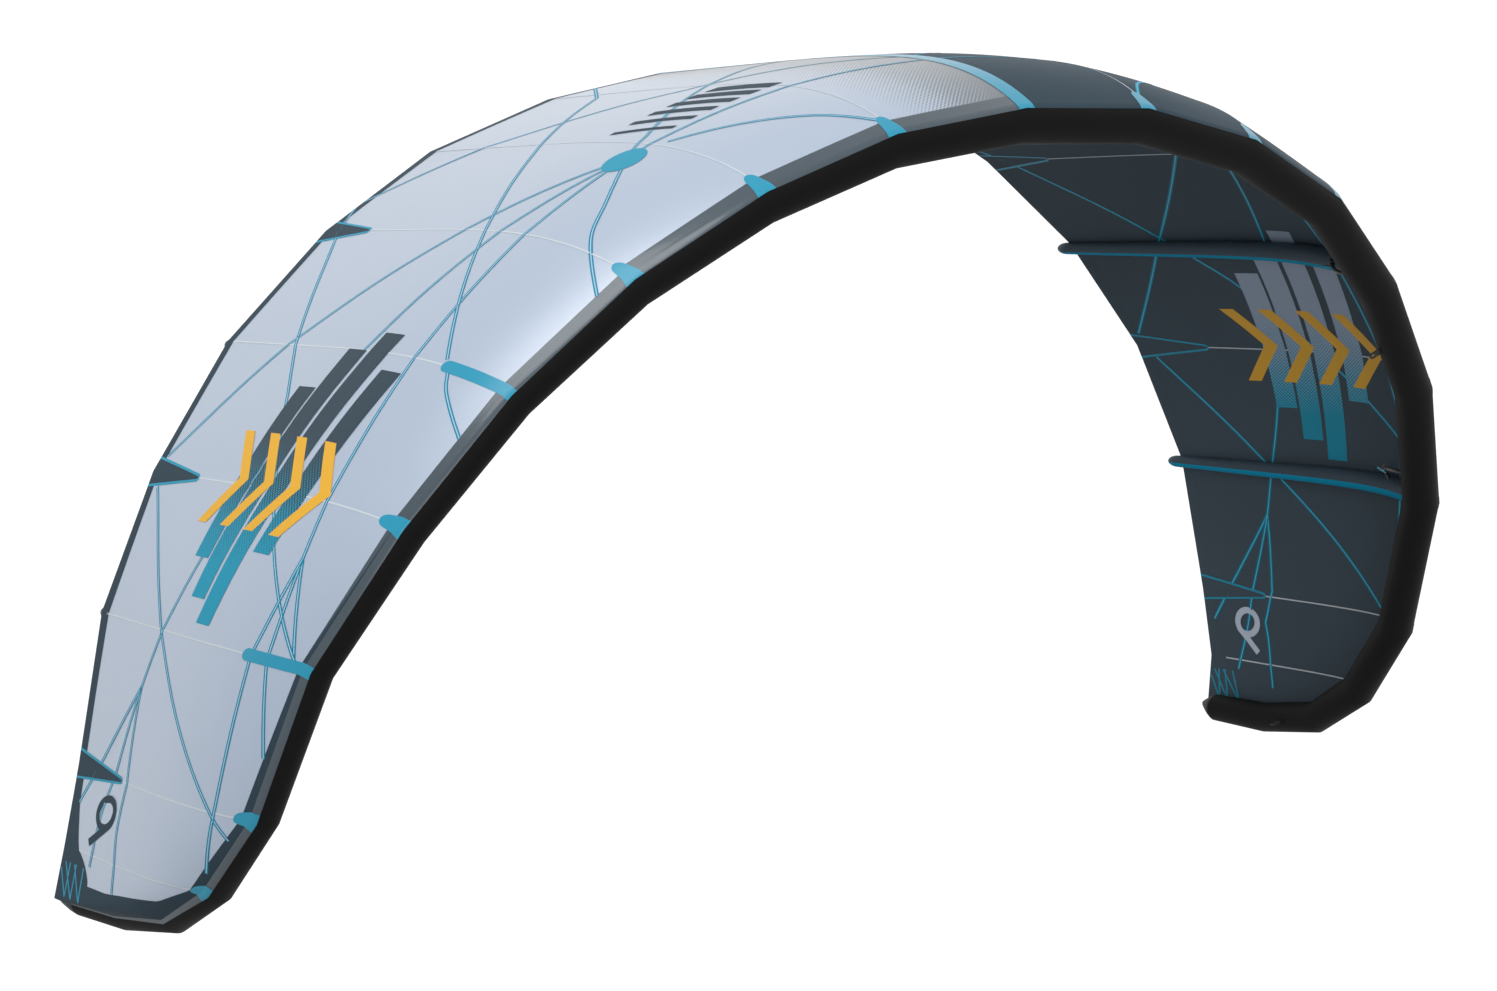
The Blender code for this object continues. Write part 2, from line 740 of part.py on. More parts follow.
def make_clips(look, accent):
    half_room = HOSE_RADIUS + CLIP_SIDE_ROOM
    half_width = half_room + CLIP_WALL
    floor = -HOSE_RADIUS - 2 * GAP
    top = floor + CLIP_ARM_HEIGHT
    outline = ((-half_width, floor - CLIP_FLOOR), (half_width, floor - CLIP_FLOOR),
               (half_width, top), (half_room, top), (half_room, floor),
               (-half_room, floor), (-half_room, top), (-half_width, top))
    for word, seam, side in strut_names():
        frame = turned_over(clip_frame(hose_ends(seam)), side, FLIP_X)
        rings = [[frame @ Vector((end * CLIP_LENGTH / 2, y, z)) for y, z in outline]
                 for end in (-1, 1)]
        name = f"clip_body_{word}"
        item = add_object(name, loft_mesh(name, rings), look)
        for end in (-1, 1):
            face = end * (CLIP_LENGTH / 2 + PROUD)
            inner = end * (CLIP_LENGTH / 2 - EAR_THICKNESS)
            low = Vector((min(face, inner), half_width - CLIP_WALL + PROUD, top - CLIP_WALL))
            high = Vector((max(face, inner), half_width + PROUD, top + LEVER_THICKNESS + GAP))
            cut(item, box_mesh("tool", frame, low, high), "UNION")
        make_lever(word, frame, top, half_width, accent)


def make_lever(word, frame, top, half_width, look):
    """The lever lies over the hose and turns about the axis along one arm."""
    half = LEVER_THICKNESS / 2
    pivot_y = half_width - CLIP_WALL / 2
    pivot_z = top + GAP + half
    nose = HOSE_RADIUS + CLIP_SIDE_ROOM - pivot_z
    far = -half_width - LEVER_OVERHANG - pivot_y
    nose_left = -LEVER_NOSE_WIDTH / 2 - pivot_y
    nose_right = LEVER_NOSE_WIDTH / 2 - pivot_y
    outline = [(far, half), (far, -half), (nose_left, -half)]
    if nose < -half:
        outline += [(nose_left, nose), (nose_right, nose)]
    outline += [(nose_right, -half)]
    outline += [(half * math.sin(angle), -half * math.cos(angle))
                for angle in (0, math.pi / 4, math.pi / 2, 3 * math.pi / 4, math.pi)]
    width = CLIP_LENGTH / 2 - EAR_THICKNESS - GAP
    hinge = frame @ Matrix.Translation((0, pivot_y, pivot_z))
    rings = [[Vector((end * width, y, z)) for y, z in outline] for end in (-1, 1)]
    name = f"clip_lever_{word}"
    item = add_object(name, loft_mesh(name, rings), look)
    item.matrix_world = hinge


def tab_mesh(name, frame):
    """A webbing tab with an eye, lying in the frame's XY plane and reaching along X."""
    half = TAB_WIDTH / 2
    eye = Vector((TAB_LENGTH - half, 0, 0))
    outer = []
    inner = []
    for k in range(TAB_SIDES):
        angle = 2 * math.pi * k / TAB_SIDES
        heading = Vector((math.cos(angle), math.sin(angle), 0))
        if heading.x >= 0:
            outer.append(eye + heading * half)
        else:
            stretch = 1 / max(abs(heading.x) * half / eye.x, abs(heading.y))
            outer.append(eye + heading * half * stretch)
        inner.append(eye + heading * TAB_EYE_RADIUS)
    lift = Vector((0, 0, TAB_THICKNESS / 2))
    rings = [[point + lift for point in outer], [point - lift for point in outer],
             [point - lift for point in inner], [point + lift for point in inner]]
    rings = [[frame @ point for point in ring] for ring in rings]
    return loft_mesh(name, rings, looped=True)


def tab_frame(seam, degrees):
    """A tab's frame on the tube past a seam: X out of the tube and Y along it."""
    middle, run, out = tube_flat(STATIONS[seam], STATIONS[seam + 1], TAB_SPAN_SHARE, degrees)
    frame = Matrix((out, run, out.cross(run))).transposed().to_4x4()
    frame.translation = middle + out * GAP
    return frame


def front_tab_frame():
    return tab_frame(FRONT_TAB_SEAM, FRONT_TAB_DEG)


def rear_tab_frame():
    return tab_frame(REAR_TAB_SEAM, REAR_TAB_DEG)


def make_tabs(look):
    for place, frame in (("front", front_tab_frame()), ("rear", rear_tab_frame())):
        for word, side in SIDES:
            name = f"line_tab_{place}_{word}"
            mesh = tab_mesh(name, turned_over(frame, side, FLIP_Y))
            add_object(name, mesh, look)


def build():
    for item in list(bpy.data.objects):
        bpy.data.objects.remove(item)
    black_cloth = material("black_cloth", (0.02, 0.02, 0.022), 0.55)
    slate_cloth = material("slate_cloth", (0.05, 0.07, 0.08), 0.5)
    pale_canopy = material("pale_canopy", (0.55, 0.62, 0.71), 0.45)
    slate_canopy = material("slate_canopy", (0.06, 0.09, 0.11), 0.45)
    bladder_film = material("bladder_film", (0.75, 0.78, 0.8), 0.3)
    black_plastic = material("black_plastic", (0.02, 0.02, 0.02), 0.4)
    teal_plastic = material("teal_plastic", (0.02, 0.3, 0.45), 0.4)
    hose_rubber = material("hose_rubber", (0.05, 0.05, 0.055), 0.5)
    webbing = material("webbing", (0.03, 0.03, 0.035), 0.7)
    make_sleeves(black_cloth)
    make_canopy({"left": slate_canopy, "right": pale_canopy})
    make_struts(slate_cloth)
    make_strut_bladders(bladder_film)
    make_leading_bladder(bladder_film)
    cut_valve_hole()
    make_valve(black_plastic, teal_plastic)
    make_hoses(hose_rubber)
    make_clips(black_plastic, teal_plastic)
    make_tabs(webbing)


build()
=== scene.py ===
"""The looks of an inflatable kitesurfing kite, built round its solids.

Metres, in the frame of the part: the origin is the centre of the leading edge tube at the
middle seam, the kite flies towards -Y, +Z is up and its left wing reaches towards +X.
A place counts seams from the middle out, 11 being the tip's end and minus the right wing.
A share is the part of the chord from the tube, 0, to the back edge, 1.
"""

import math
from collections import namedtuple
from itertools import accumulate

import bmesh
import bpy
from mathutils import Matrix, Vector
from mathutils.geometry import interpolate_bezier, intersect_line_line


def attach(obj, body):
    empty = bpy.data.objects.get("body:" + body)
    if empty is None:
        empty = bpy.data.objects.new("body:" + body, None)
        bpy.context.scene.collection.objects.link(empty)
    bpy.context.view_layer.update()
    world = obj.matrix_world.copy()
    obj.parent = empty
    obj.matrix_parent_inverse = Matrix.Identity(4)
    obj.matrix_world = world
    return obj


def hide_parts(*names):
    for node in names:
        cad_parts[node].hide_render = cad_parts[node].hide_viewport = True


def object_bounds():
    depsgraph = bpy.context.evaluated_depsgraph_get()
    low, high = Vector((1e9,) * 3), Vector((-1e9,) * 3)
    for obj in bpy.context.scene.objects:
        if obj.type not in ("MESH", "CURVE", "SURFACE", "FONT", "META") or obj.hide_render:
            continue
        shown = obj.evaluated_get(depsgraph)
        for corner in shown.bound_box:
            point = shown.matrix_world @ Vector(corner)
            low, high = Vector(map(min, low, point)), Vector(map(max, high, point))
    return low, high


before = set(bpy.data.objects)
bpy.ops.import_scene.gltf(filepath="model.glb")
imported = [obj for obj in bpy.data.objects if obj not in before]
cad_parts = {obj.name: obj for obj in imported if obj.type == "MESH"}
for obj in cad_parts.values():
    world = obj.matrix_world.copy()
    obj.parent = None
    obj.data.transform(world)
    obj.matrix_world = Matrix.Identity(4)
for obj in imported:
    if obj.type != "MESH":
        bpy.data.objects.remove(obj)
cad_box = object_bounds()

# Shape of the kite, as in the part
PANEL_WIDTH = 0.445
PANEL_WIDTH_SHARES = (1.0, 0.98, 0.98, 0.99, 1.0, 1.01, 1.02, 0.65, 0.5, 0.53, 0.5)
PANEL_DROP_DEG = (4.5, 16.0, 27.5, 41.0, 52.0, 63.0, 81.5, 84.0, 87.5, 88.0, 90.0)
PANEL_SWEEP_DEG = (1.0, 3.5, 9.0, 14.0, 16.0, 21.0, 22.0, 39.5, 58.5, 81.0, 89.0)
TUBE_RADIUS = 0.062
TUBE_RADIUS_SHARES = (1.0, 0.98, 0.96, 0.94, 0.92, 0.91, 0.89, 0.87, 0.85, 0.79, 0.73, 0.66)
TUBE_SIDES = 24
TUBE_END_LENGTH = 0.09
TUBE_END_LEAN = 0.022
TUBE_END_SHARES = ((0.3, 0.8), (0.65, 0.48), (0.9, 0.22), (1.0, 0.07))
SLEEVE_SPLITS = (0, 2, 4, 6)
CENTRE_CHORD = 1.585
CHORD_SHARES = (1.0, 0.945, 0.94, 0.915, 0.85, 0.765, 0.66, 0.55, 0.44)
CHORD_YAW_DEG = (0.0, 1.0, 0.5, -1.0, -0.5, -0.5, -1.0, 0.5, 2.5)
TIP_CHORD = 0.085
CAMBER_SHARE = 0.063
CAMBER_POWER = 6
CANOPY_SEAT_DEG = 112.5
TIP_SEAT_DEG = 90.0
TIP_SEAT_STEP_DEG = 7.5
CANOPY_THICKNESS = 0.0015
CANOPY_BILLOW = 0.012
STRUT_SEAMS = (0, 4, 6)
STRUT_FRONT_RADIUS = 0.036
STRUT_REAR_RADIUS = 0.018
STRUT_OVERHANG = 0.038
TAB_WIDTH = 0.024
TAB_LENGTH = 0.036
TAB_THICKNESS = 0.003
TAB_EYE_RADIUS = 0.006
LINE_TABS = (("front", 4, 292.5), ("rear", 9, 262.5))
TAB_SPAN_SHARE = 0.5
GAP = 0.0003
SIDES = (("left", 1), ("right", -1))

# How finely the soft skins are drawn
TUBE_ROUND_STEPS = 64
LAP_STEPS = 6
LAP_TAPER_SHARE = 0.7
CHORD_STEPS = 40
CHORD_STEP_POWER = 1.5
SPAN_STEPS = 10
RIBBON_STEP = 0.008
ROUND_STEPS = 6
STEEP_PLACES = 0.001
STEEP_SLOPE = 0.2
SAME_PART = 0.002
NORMAL_STEP = 0.01

# The slate band: its edge on the tube at each seam, its strips of canopy on each panel
BAND_EDGE_DEG = (137.5,) * 8 + (130.0, 112.0, 96.0, 94.0)
BAND_STRIPS = (3,) * 3 + (2,) * 6

# Colours as they should render, in sRGB
SLATE = "364651"
PALE = "9EAEC3"
TEAL = "2596B4"
WHITE = (1, 1, 1, 1)

# Camera, fitted to the photograph
IMAGE_WIDTH = 1497
CAMERA_FOCAL_PX = 7188
CAMERA_SENSOR_MM = 36.0
CAMERA_REACH = 1000.0
CAMERA_PLACE = (-12.75, -14.85, 2.33)
CAMERA_ELEVATION_DEG = 9.76
CAMERA_TURNS_DEG = ((-38.49, "Z"), (90 - CAMERA_ELEVATION_DEG, "X"), (-0.25, "Z"))

Station = namedtuple("Station", "centre along back out normal radius trailing")
Corner = namedtuple("Corner", "point normal flat place", defaults=((0.0, 0.0),) * 2)
Hoop = namedtuple("Hoop", "middle heading across up radius share lean", defaults=(0.0, 0.0))

PANEL_SPANS = [PANEL_WIDTH * share for share in PANEL_WIDTH_SHARES]
DROP_DEG = (-PANEL_DROP_DEG[0],) + PANEL_DROP_DEG + PANEL_DROP_DEG[-1:]
SWEEP_DEG = (-PANEL_SWEEP_DEG[0],) + PANEL_SWEEP_DEG + PANEL_SWEEP_DEG[-1:]
SPAN_KNOTS = list(enumerate(accumulate(PANEL_SPANS, initial=0.0)))
PLACE_KNOTS = [(distance, place) for place, distance in SPAN_KNOTS]
TIP = len(PANEL_SPANS)
LAST_SEAM = len(CHORD_SHARES) - 1


def even(start, stop, steps):
    """Evenly spaced numbers from start to stop, both included."""
    return [start + (stop - start) * k / steps for k in range(steps + 1)]


def chord_shares(steps, start=0.0):
    """Shares from the start to the back edge, closer together in front."""
    return [start + (1 - start) * (k / steps) ** CHORD_STEP_POWER for k in range(steps + 1)]


def circle_points(count, radius=1.0):
    """Points evenly round a circle, anticlockwise."""
    turns = [2 * math.pi * k / count for k in range(count)]
    return [(radius * math.cos(turn), radius * math.sin(turn)) for turn in turns]


def with_neighbours(items):
    """Each item between the one before and the one after; an end is its own neighbour."""
    return zip(items[:1] + items[:-1], items, items[1:] + items[-1:])


def mirrored(point, side):
    return Vector((point.x * side, point.y, point.z))


def direction(drop_deg, sweep_deg):
    drop, sweep = math.radians(drop_deg), math.radians(sweep_deg)
    return Vector((math.cos(sweep) * math.cos(drop), math.sin(sweep),
                   -math.cos(sweep) * math.sin(drop)))


def trailing_points(centres):
    """Chord ends at the seams, then evenly along the tip's edge to its corner."""
    points = []
    for centre, share, yaw_deg in zip(centres, CHORD_SHARES, CHORD_YAW_DEG):
        yaw = math.radians(yaw_deg)
        points.append(centre + CENTRE_CHORD * share * Vector((math.sin(yaw), math.cos(yaw), 0)))
    corner = centres[-1] + Vector((TUBE_RADIUS * TUBE_RADIUS_SHARES[-1], TIP_CHORD, 0))
    last, count = points[-1], len(centres) - len(points)
    return points + [last.lerp(corner, step / count) for step in range(1, count + 1)]


def make_stations():
    """The tube's centre, frame and radius at each seam, and the back end of its chord."""
    headings = [direction(*pair) for pair in zip(DROP_DEG, SWEEP_DEG)]
    centres = [Vector((0, 0, 0))]
    for span, heading in zip(PANEL_SPANS, headings[1:]):
        centres.append(centres[-1] + span * heading)
    stations = []
    for index, (centre, trailing) in enumerate(zip(centres, trailing_points(centres))):
        along = (headings[index] + headings[index + 1]).normalized()
        slope = math.radians((DROP_DEG[index] + DROP_DEG[index + 1]) / 2)
        normal = Vector((math.sin(slope), 0, math.cos(slope)))
        out = (normal - normal.dot(along) * along).normalized()
        radius = TUBE_RADIUS * TUBE_RADIUS_SHARES[index]
        stations.append(Station(centre, along, out.cross(along), out, normal, radius, trailing))
    return stations


STATIONS = make_stations()


def radial(station, degrees):
    angle = math.radians(degrees)
    return math.cos(angle) * station.back + math.sin(angle) * station.out


def between(place):
    """The seam before a place, how far past it the place lies, and its side."""
    reach = min(abs(place), TIP)
    spot = min(int(reach), TIP - 1)
    return spot, reach - spot, -1 if place < 0 else 1


def curve_at(knots, reach):
    """Height of a line that runs straight from knot to knot, and level after the last."""
    for (start, low), (stop, high) in zip(knots, knots[1:]):
        if reach <= stop:
            return low + (high - low) * (reach - start) / (stop - start)
    return knots[-1][1]


def ramp(values, place):
    """A value given for each seam, drawn straight from one seam to the next."""
    return curve_at(list(enumerate(values)), abs(place))


def span_at(place):
    """Distance along the span from the middle seam."""
    return math.copysign(curve_at(SPAN_KNOTS, abs(place)), place)


def place_at(distance):
    """The place at a distance along the span from the middle seam."""
    return math.copysign(curve_at(PLACE_KNOTS, abs(distance)), distance)


def section(share):
    """An arch that is round at the front, nearly flat behind and hollow nowhere."""
    return 1 - share - (1 - share) ** CAMBER_POWER


CAMBER_TOP = section(1 - (1 / CAMBER_POWER) ** (1 / (CAMBER_POWER - 1)))
SEAT_DEG = [max(CANOPY_SEAT_DEG - max(index - LAST_SEAM + 1, 0) * TIP_SEAT_STEP_DEG, TIP_SEAT_DEG)
            for index in range(TIP + 1)]
FRONTS = [station.centre + (station.radius + GAP + CANOPY_THICKNESS) * radial(station, degrees)
          for station, degrees in zip(STATIONS, SEAT_DEG)]
CHORDS = [station.trailing - front for station, front in zip(STATIONS, FRONTS)]
CHORD_LENGTHS = [chord.length for chord in CHORDS]
LAP_LENGTHS = [math.radians(edge - seat) * station.radius
               for edge, seat, station in zip(BAND_EDGE_DEG, SEAT_DEG, STATIONS)]


def seam_point(index, share):
    """A point of the canopy's upper face along a seam."""
    height = CAMBER_SHARE * CHORD_LENGTHS[index] * section(share) / CAMBER_TOP
    return FRONTS[index] + CHORDS[index] * share + STATIONS[index].normal * height


def chord_run(index, share):
    """A short stretch along a seam of the canopy, which points back."""
    return (seam_point(index, min(share + NORMAL_STEP, 1.0))
            - seam_point(index, max(share - NORMAL_STEP, 0.0)))


def seam_normal(index, share):
    """Way out of the canopy at a seam, halfway between the faces that meet there."""
    inner = seam_point(index - 1, share) if index else mirrored(seam_point(1, share), -1)
    across = seam_point(min(index + 1, TIP), share) - inner
    normal = across.cross(chord_run(index, share)).normalized()
    if share == 0.0:
        normal = (normal + radial(STATIONS[index], SEAT_DEG[index])).normalized()
    return normal


def lap_end(index, lap, raised):
    """Where the lap lies on the tube at a seam, and the way out of it there."""
    station = STATIONS[index]
    way = radial(station, SEAT_DEG[index] + lap * (BAND_EDGE_DEG[index] - SEAT_DEG[index]))
    return station.centre + (station.radius + raised) * way, way


def canopy_corner(place, share, lift=0.0, below=False):
    """A corner on the upper or lower face of the cloth, raised off it by the lift.

    Shares under 0 are on the part that laps over the tube, with its edge at -1.
    """
    spot, part, side = between(place)
    facing = -1 if below else 1
    if share < 0:
        depth = CANOPY_THICKNESS * (1 + LAP_TAPER_SHARE * share)
        raised = GAP if below else GAP + depth + lift
        ends = [lap_end(index, -share, raised) for index in (spot, spot + 1)]
        off, lengths = Vector(), LAP_LENGTHS
    else:
        ends = [(seam_point(index, share), seam_normal(index, share)) for index in (spot, spot + 1)]
        out = STATIONS[spot].normal.lerp(STATIONS[spot + 1].normal, part).normalized()
        swell = CANOPY_BILLOW * math.sin(math.pi * part) if spot < LAST_SEAM else 0.0
        raised = -CANOPY_THICKNESS - lift if below else lift
        off, lengths = out * (swell * math.sin(math.pi * share) + raised), CHORD_LENGTHS
    point, normal = (low.lerp(high, part) for low, high in zip(*ends))
    return Corner(mirrored(point + off, side), facing * mirrored(normal.normalized(), side),
                  (span_at(place), share * ramp(lengths, place)), (place, max(share, 0.0)))


def placed(name, data):
    """A new object in the scene."""
    item = bpy.data.objects.new(name, data)
    bpy.context.scene.collection.objects.link(item)
    return item


class Piece:
    """Gathers the corners and faces of one object, then makes it."""

    def __init__(self, name, *looks):
        self.name = name
        self.looks = looks
        self.corners = []
        self.faces = []
        self.slots = []

    def add_row(self, row):
        start = len(self.corners)
        self.corners += row
        return list(range(start, start + len(row)))

    def add_face(self, indices, slot=0):
        """The face looks the way its corners' normals do."""
        points = [self.corners[k].point for k in indices]
        way = (points[2] - points[0]).cross(points[-1] - points[1])
        normal = sum((self.corners[k].normal for k in indices), Vector())
        self.faces.append(indices if way.dot(normal) >= 0 else indices[::-1])
        self.slots.append(slot)

    def add_grid(self, rows, slots=(0,), looped=False):
        """Faces between rows of corners, with one slot for each strip along the rows."""
        indices = [self.add_row(row) for row in rows]
        for first, second in zip(indices, indices[1:]):
            count = len(first)
            for k in range(count if looped else count - 1):
                after = (k + 1) % count
                slot = slots[min(k, len(slots) - 1)]
                self.add_face([first[k], first[after], second[after], second[k]], slot)
        return indices

    def add_tube(self, rows, ends, slots=(0,)):
        """A grid of rings, closed by faces on some of its end rings."""
        indices = self.add_grid(rows, slots, looped=True)
        for end in ends:
            self.add_face(indices[end], slots[-1])

    def add_sheet(self, above, beneath, slots, under):
        """A thin closed sheet: two faces of corners, joined round their edges."""
        top = self.add_grid(above, slots)
        bottom = self.add_grid(beneath, under)
        rims = [(top[0], bottom[0]), (top[-1], bottom[-1])]
        rims += [([row[end] for row in top], [row[end] for row in bottom]) for end in (0, -1)]
        for upper, lower in rims:
            for k in range(len(upper) - 1):
                self.faces.append([upper[k], upper[k + 1], lower[k + 1], lower[k]])
                self.slots.append(slots[0])

    def add_print(self, rows, lift, side, slots=(0,), under=None, looped=False):
        """A grid of places and shares on both faces of the canopy; rings are filled in."""
        for below, chosen in ((False, slots), (True, under or slots)):
            grid = [[canopy_corner(side * place, share, lift, below) for place, share in row]
                    for row in rows]
            if looped:
                self.add_tube(grid, [0])
            else:
                self.add_grid(grid, chosen)

    def add_ribbon(self, knots, offsets, lift, side, slots=(0,)):
        """A narrow flat strip along a path on both faces, its edges at the given offsets."""
        spots = path_spots(knots)
        for below in (False, True):
            middles = [canopy_corner(side * place, share, lift, below) for place, share in spots]
            rows = []
            travel = 0.0
            for before, middle, after in with_neighbours(middles):
                travel += (middle.point - before.point).length
                across = (after.point - before.point).cross(middle.normal).normalized()
                rows.append([Corner(middle.point + across * offset, middle.normal,
                                    (offset, travel), middle.place) for offset in offsets])
            self.add_grid(rows, slots)

    def make(self, slot, *nodes, side=1, closed=False):
        """The object rides on the kite and stands for some nodes; the slot, a finish's name, is not
        used.
        """
        mesh = bpy.data.meshes.new(self.name)
        points = [mirrored(corner.point, side) for corner in self.corners]
        mesh.from_pydata(points, [], [face[::side] for face in self.faces])
        for look in self.looks:
            mesh.materials.append(LOOKS[look])
        mesh.polygons.foreach_set("material_index", self.slots)
        for name in ("flat", "place"):
            layer = mesh.uv_layers.new(name=name)
            for loop in mesh.loops:
                layer.data[loop.index].uv = getattr(self.corners[loop.vertex_index], name)
        if closed:
            turn_faces_out(mesh)
        mesh.shade_smooth()
        normals = [mirrored(corner.normal, side) for corner in self.corners]
        mesh.normals_split_custom_set_from_vertices(normals)
        item = placed(self.name, mesh)
        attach(item, "kite")
        if nodes:
            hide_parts(*nodes)
        return item


def turn_faces_out(mesh):
    """Give the rim faces the same sense as the faces that they join."""
    shape = bmesh.new()
    shape.from_mesh(mesh)
    bmesh.ops.recalc_face_normals(shape, faces=shape.faces)
    shape.to_mesh(mesh)
    shape.free()


def linear(code):
    """An sRGB colour code as the linear values that a shader takes."""
    values = [int(code[k:k + 2], 16) / 255 for k in (0, 2, 4)]
    return [v / 12.92 if v <= 0.04045 else ((v + 0.055) / 1.055) ** 2.4 for v in values] + [1]


class Shader:
    """Short calls for the nodes of a material or of the world."""

    def __init__(self, owner, main, **inputs):
        owner.use_nodes = True
        self.tree = owner.node_tree
        self.main = self.tree.nodes[main]
        for name, value in inputs.items():
            self.feed(self.main, name.replace("_", " "), value)

    def feed(self, node, name, value):
        """Give an input a value, or another node's output."""
        if isinstance(value, bpy.types.NodeSocket):
            self.tree.links.new(value, node.inputs[name])
        else:
            node.inputs[name].default_value = value

    def add(self, kind, inputs, output=0, **settings):
        """The output of a new node."""
        node = self.tree.nodes.new("ShaderNode" + kind)
        for name, value in settings.items():
            setattr(node, name, value)
        for name, value in inputs.items():
            self.feed(node, name, value)
        return node.outputs[output]

    def sum(self, operation, *terms, clamp=False):
        return self.add("Math", dict(enumerate(terms)), operation=operation, use_clamp=clamp)

    def mix(self, amount, first, second):
        return self.add("Mix", {0: amount, 6: first, 7: second}, 2, data_type="RGBA")

    def paint(self, colour, source, spread, threads=0.0):
        """Colour whose tone drifts with a source and is darker on the threads."""
        drift = self.add("MapRange", {0: source, 3: 1 - spread, 4: 1 + spread})
        tone = self.sum("SUBTRACT", drift, threads)
        colour = self.add("VectorMath", {0: colour, 3: tone}, operation="SCALE")
        self.feed(self.main, "Base Color", colour)

    def noise(self, vector, scale, detail=3.0):
        return self.add("TexNoise", {"Vector": vector, "Scale": scale, "Detail": detail})

    def bump(self, height, strength, distance, **after):
        return self.add("Bump", {"Height": height, "Strength": strength, "Distance": distance,
                                 **after})

    def layer(self, name):
        """A flat layer and its two numbers, in metres or as place and share."""
        source = self.add("UVMap", {}, uv_map=name)
        return source, *(self.add("SeparateXYZ", {0: source}, axis) for axis in (0, 1))

    def seen(self):
        """1 where the eye meets the surface itself, 0 where it only meets its light."""
        seen = self.add("LightPath", {}, "Is Camera Ray")
        for ray in ("Is Glossy Ray", "Is Transmission Ray"):
            seen = self.sum("MAXIMUM", seen, self.add("LightPath", {}, ray))
        return seen


# Cloth detail, with pitches and depths in metres
RIPSTOP_PITCH = 0.006
RIPSTOP_SHARPNESS = 12.0
RIPSTOP_BUMP = (0.25, 0.0002)
THREAD_TONE = 0.04
WEAVE_PITCH = 0.0012
WEAVE_BUMP = (0.12, 0.0001)
DRIFT_NOISE = (2.2, 4.0)
RIPPLE_NOISE = (5.0, 2.0)
RIPPLE_DEPTH = 0.004
HALFTONE_PITCH = 0.013
HALFTONE_LEVEL = 1.1
HALFTONE_SHARPNESS = 4.0
FADE_START = 0.05
FADE_END = 0.85
FADE_SWELL = 0.3
FADE_DROP = 0.4
FADE_DROP_POWER = 3.0
STRIPE_FADE = (4.6, 5.6)
GRAIN_BUMP = 0.3
DRIFT_SCALE = 60.0
DRIFT_SPREAD = 0.1


def waves(shader, operation, x, y, pitch):
    """Waves that run both ways through the cloth, put together by an operation."""
    both = (shader.sum("COSINE", shader.sum("MULTIPLY", value, 2 * math.pi / pitch))
            for value in (x, y))
    return shader.sum(operation, *both)


def halftone(shader, x, y, reach, start, run, before, beyond):
    """Print that turns from one colour to another in dots, over a run along the span."""
    fade = shader.sum("DIVIDE", shader.sum("SUBTRACT", reach, start), run, clamp=True)
    level = shader.sum("MULTIPLY_ADD", fade, 2 * HALFTONE_LEVEL, -HALFTONE_LEVEL)
    rise = shader.sum("SUBTRACT", waves(shader, "MULTIPLY", x, y, HALFTONE_PITCH), level)
    dots = shader.sum("MULTIPLY_ADD", rise, HALFTONE_SHARPNESS, 0.5, clamp=True)
    return shader.mix(dots, linear(beyond), linear(before))


def middle_fade(shader, x, y):
    """Slate print that fades out on the pale cloth beside the middle seam."""
    place, share = shader.layer("place")[1:]
    arch = shader.sum("SINE", shader.sum("MULTIPLY", share, math.pi))
    end = shader.sum("MULTIPLY_ADD", arch, FADE_SWELL, FADE_END)
    drop = shader.sum("MULTIPLY", shader.sum("POWER", share, FADE_DROP_POWER), FADE_DROP)
    run = shader.sum("SUBTRACT", shader.sum("SUBTRACT", end, drop), FADE_START)
    reach = shader.sum("ABSOLUTE", place)
    return halftone(shader, x, y, reach, FADE_START, run, SLATE, PALE)


def stripe_fade(before):
    """Print that turns teal in dots along the stripes."""
    def mixed(shader, x, y):
        reach = shader.sum("ABSOLUTE", shader.layer("place")[1])
        start, stop = STRIPE_FADE
        return halftone(shader, x, y, reach, start, stop - start, before, TEAL)
    return mixed


def surface(name, roughness, specular=0.5, coat=0.0, coat_roughness=0.03, alpha=1.0):
    look = bpy.data.materials.new(name)
    return look, Shader(look, "Principled BSDF", Roughness=roughness, Specular_IOR_Level=specular,
                        Coat_Weight=coat, Coat_Roughness=coat_roughness, Alpha=alpha)


def cloth(name, colour, roughness, specular, spread=0.05, ripple=0.35, *coat):
    """Cloth of a colour or print: tone that drifts, threads, and soft ripples as bump."""
    look, shader = surface(name, roughness, specular, *coat)
    vector, x, y = shader.layer("flat")
    base = linear(colour)[:3] if isinstance(colour, str) else colour(shader, x, y)
    ridges = shader.sum("MAXIMUM", waves(shader, "MAXIMUM", x, y, RIPSTOP_PITCH), 0.0)
    threads = shader.sum("POWER", ridges, RIPSTOP_SHARPNESS)
    shader.paint(base, shader.noise(vector, *DRIFT_NOISE), spread,
                 shader.sum("MULTIPLY", threads, THREAD_TONE))
    weave = waves(shader, "MULTIPLY", x, y, WEAVE_PITCH)
    relief = shader.bump(threads, *RIPSTOP_BUMP)
    relief = shader.bump(weave, *WEAVE_BUMP, Normal=relief)
    relief = shader.bump(shader.noise(vector, *RIPPLE_NOISE), ripple, RIPPLE_DEPTH, Normal=relief)
    shader.feed(shader.main, "Normal", relief)
    return look


def moulded(name, colour, roughness, grain=900.0, depth=0.0001, alpha=1.0):
    """Moulded plastic or rubber with a fine grain and slightly uneven tone."""
    look, shader = surface(name, roughness, alpha=alpha)
    source = shader.add("TexCoord", {}, "Object")
    shader.paint(linear(colour)[:3], shader.noise(source, DRIFT_SCALE), DRIFT_SPREAD)
    relief = shader.bump(shader.noise(source, grain), GRAIN_BUMP, depth)
    shader.feed(shader.main, "Normal", relief)
    return look


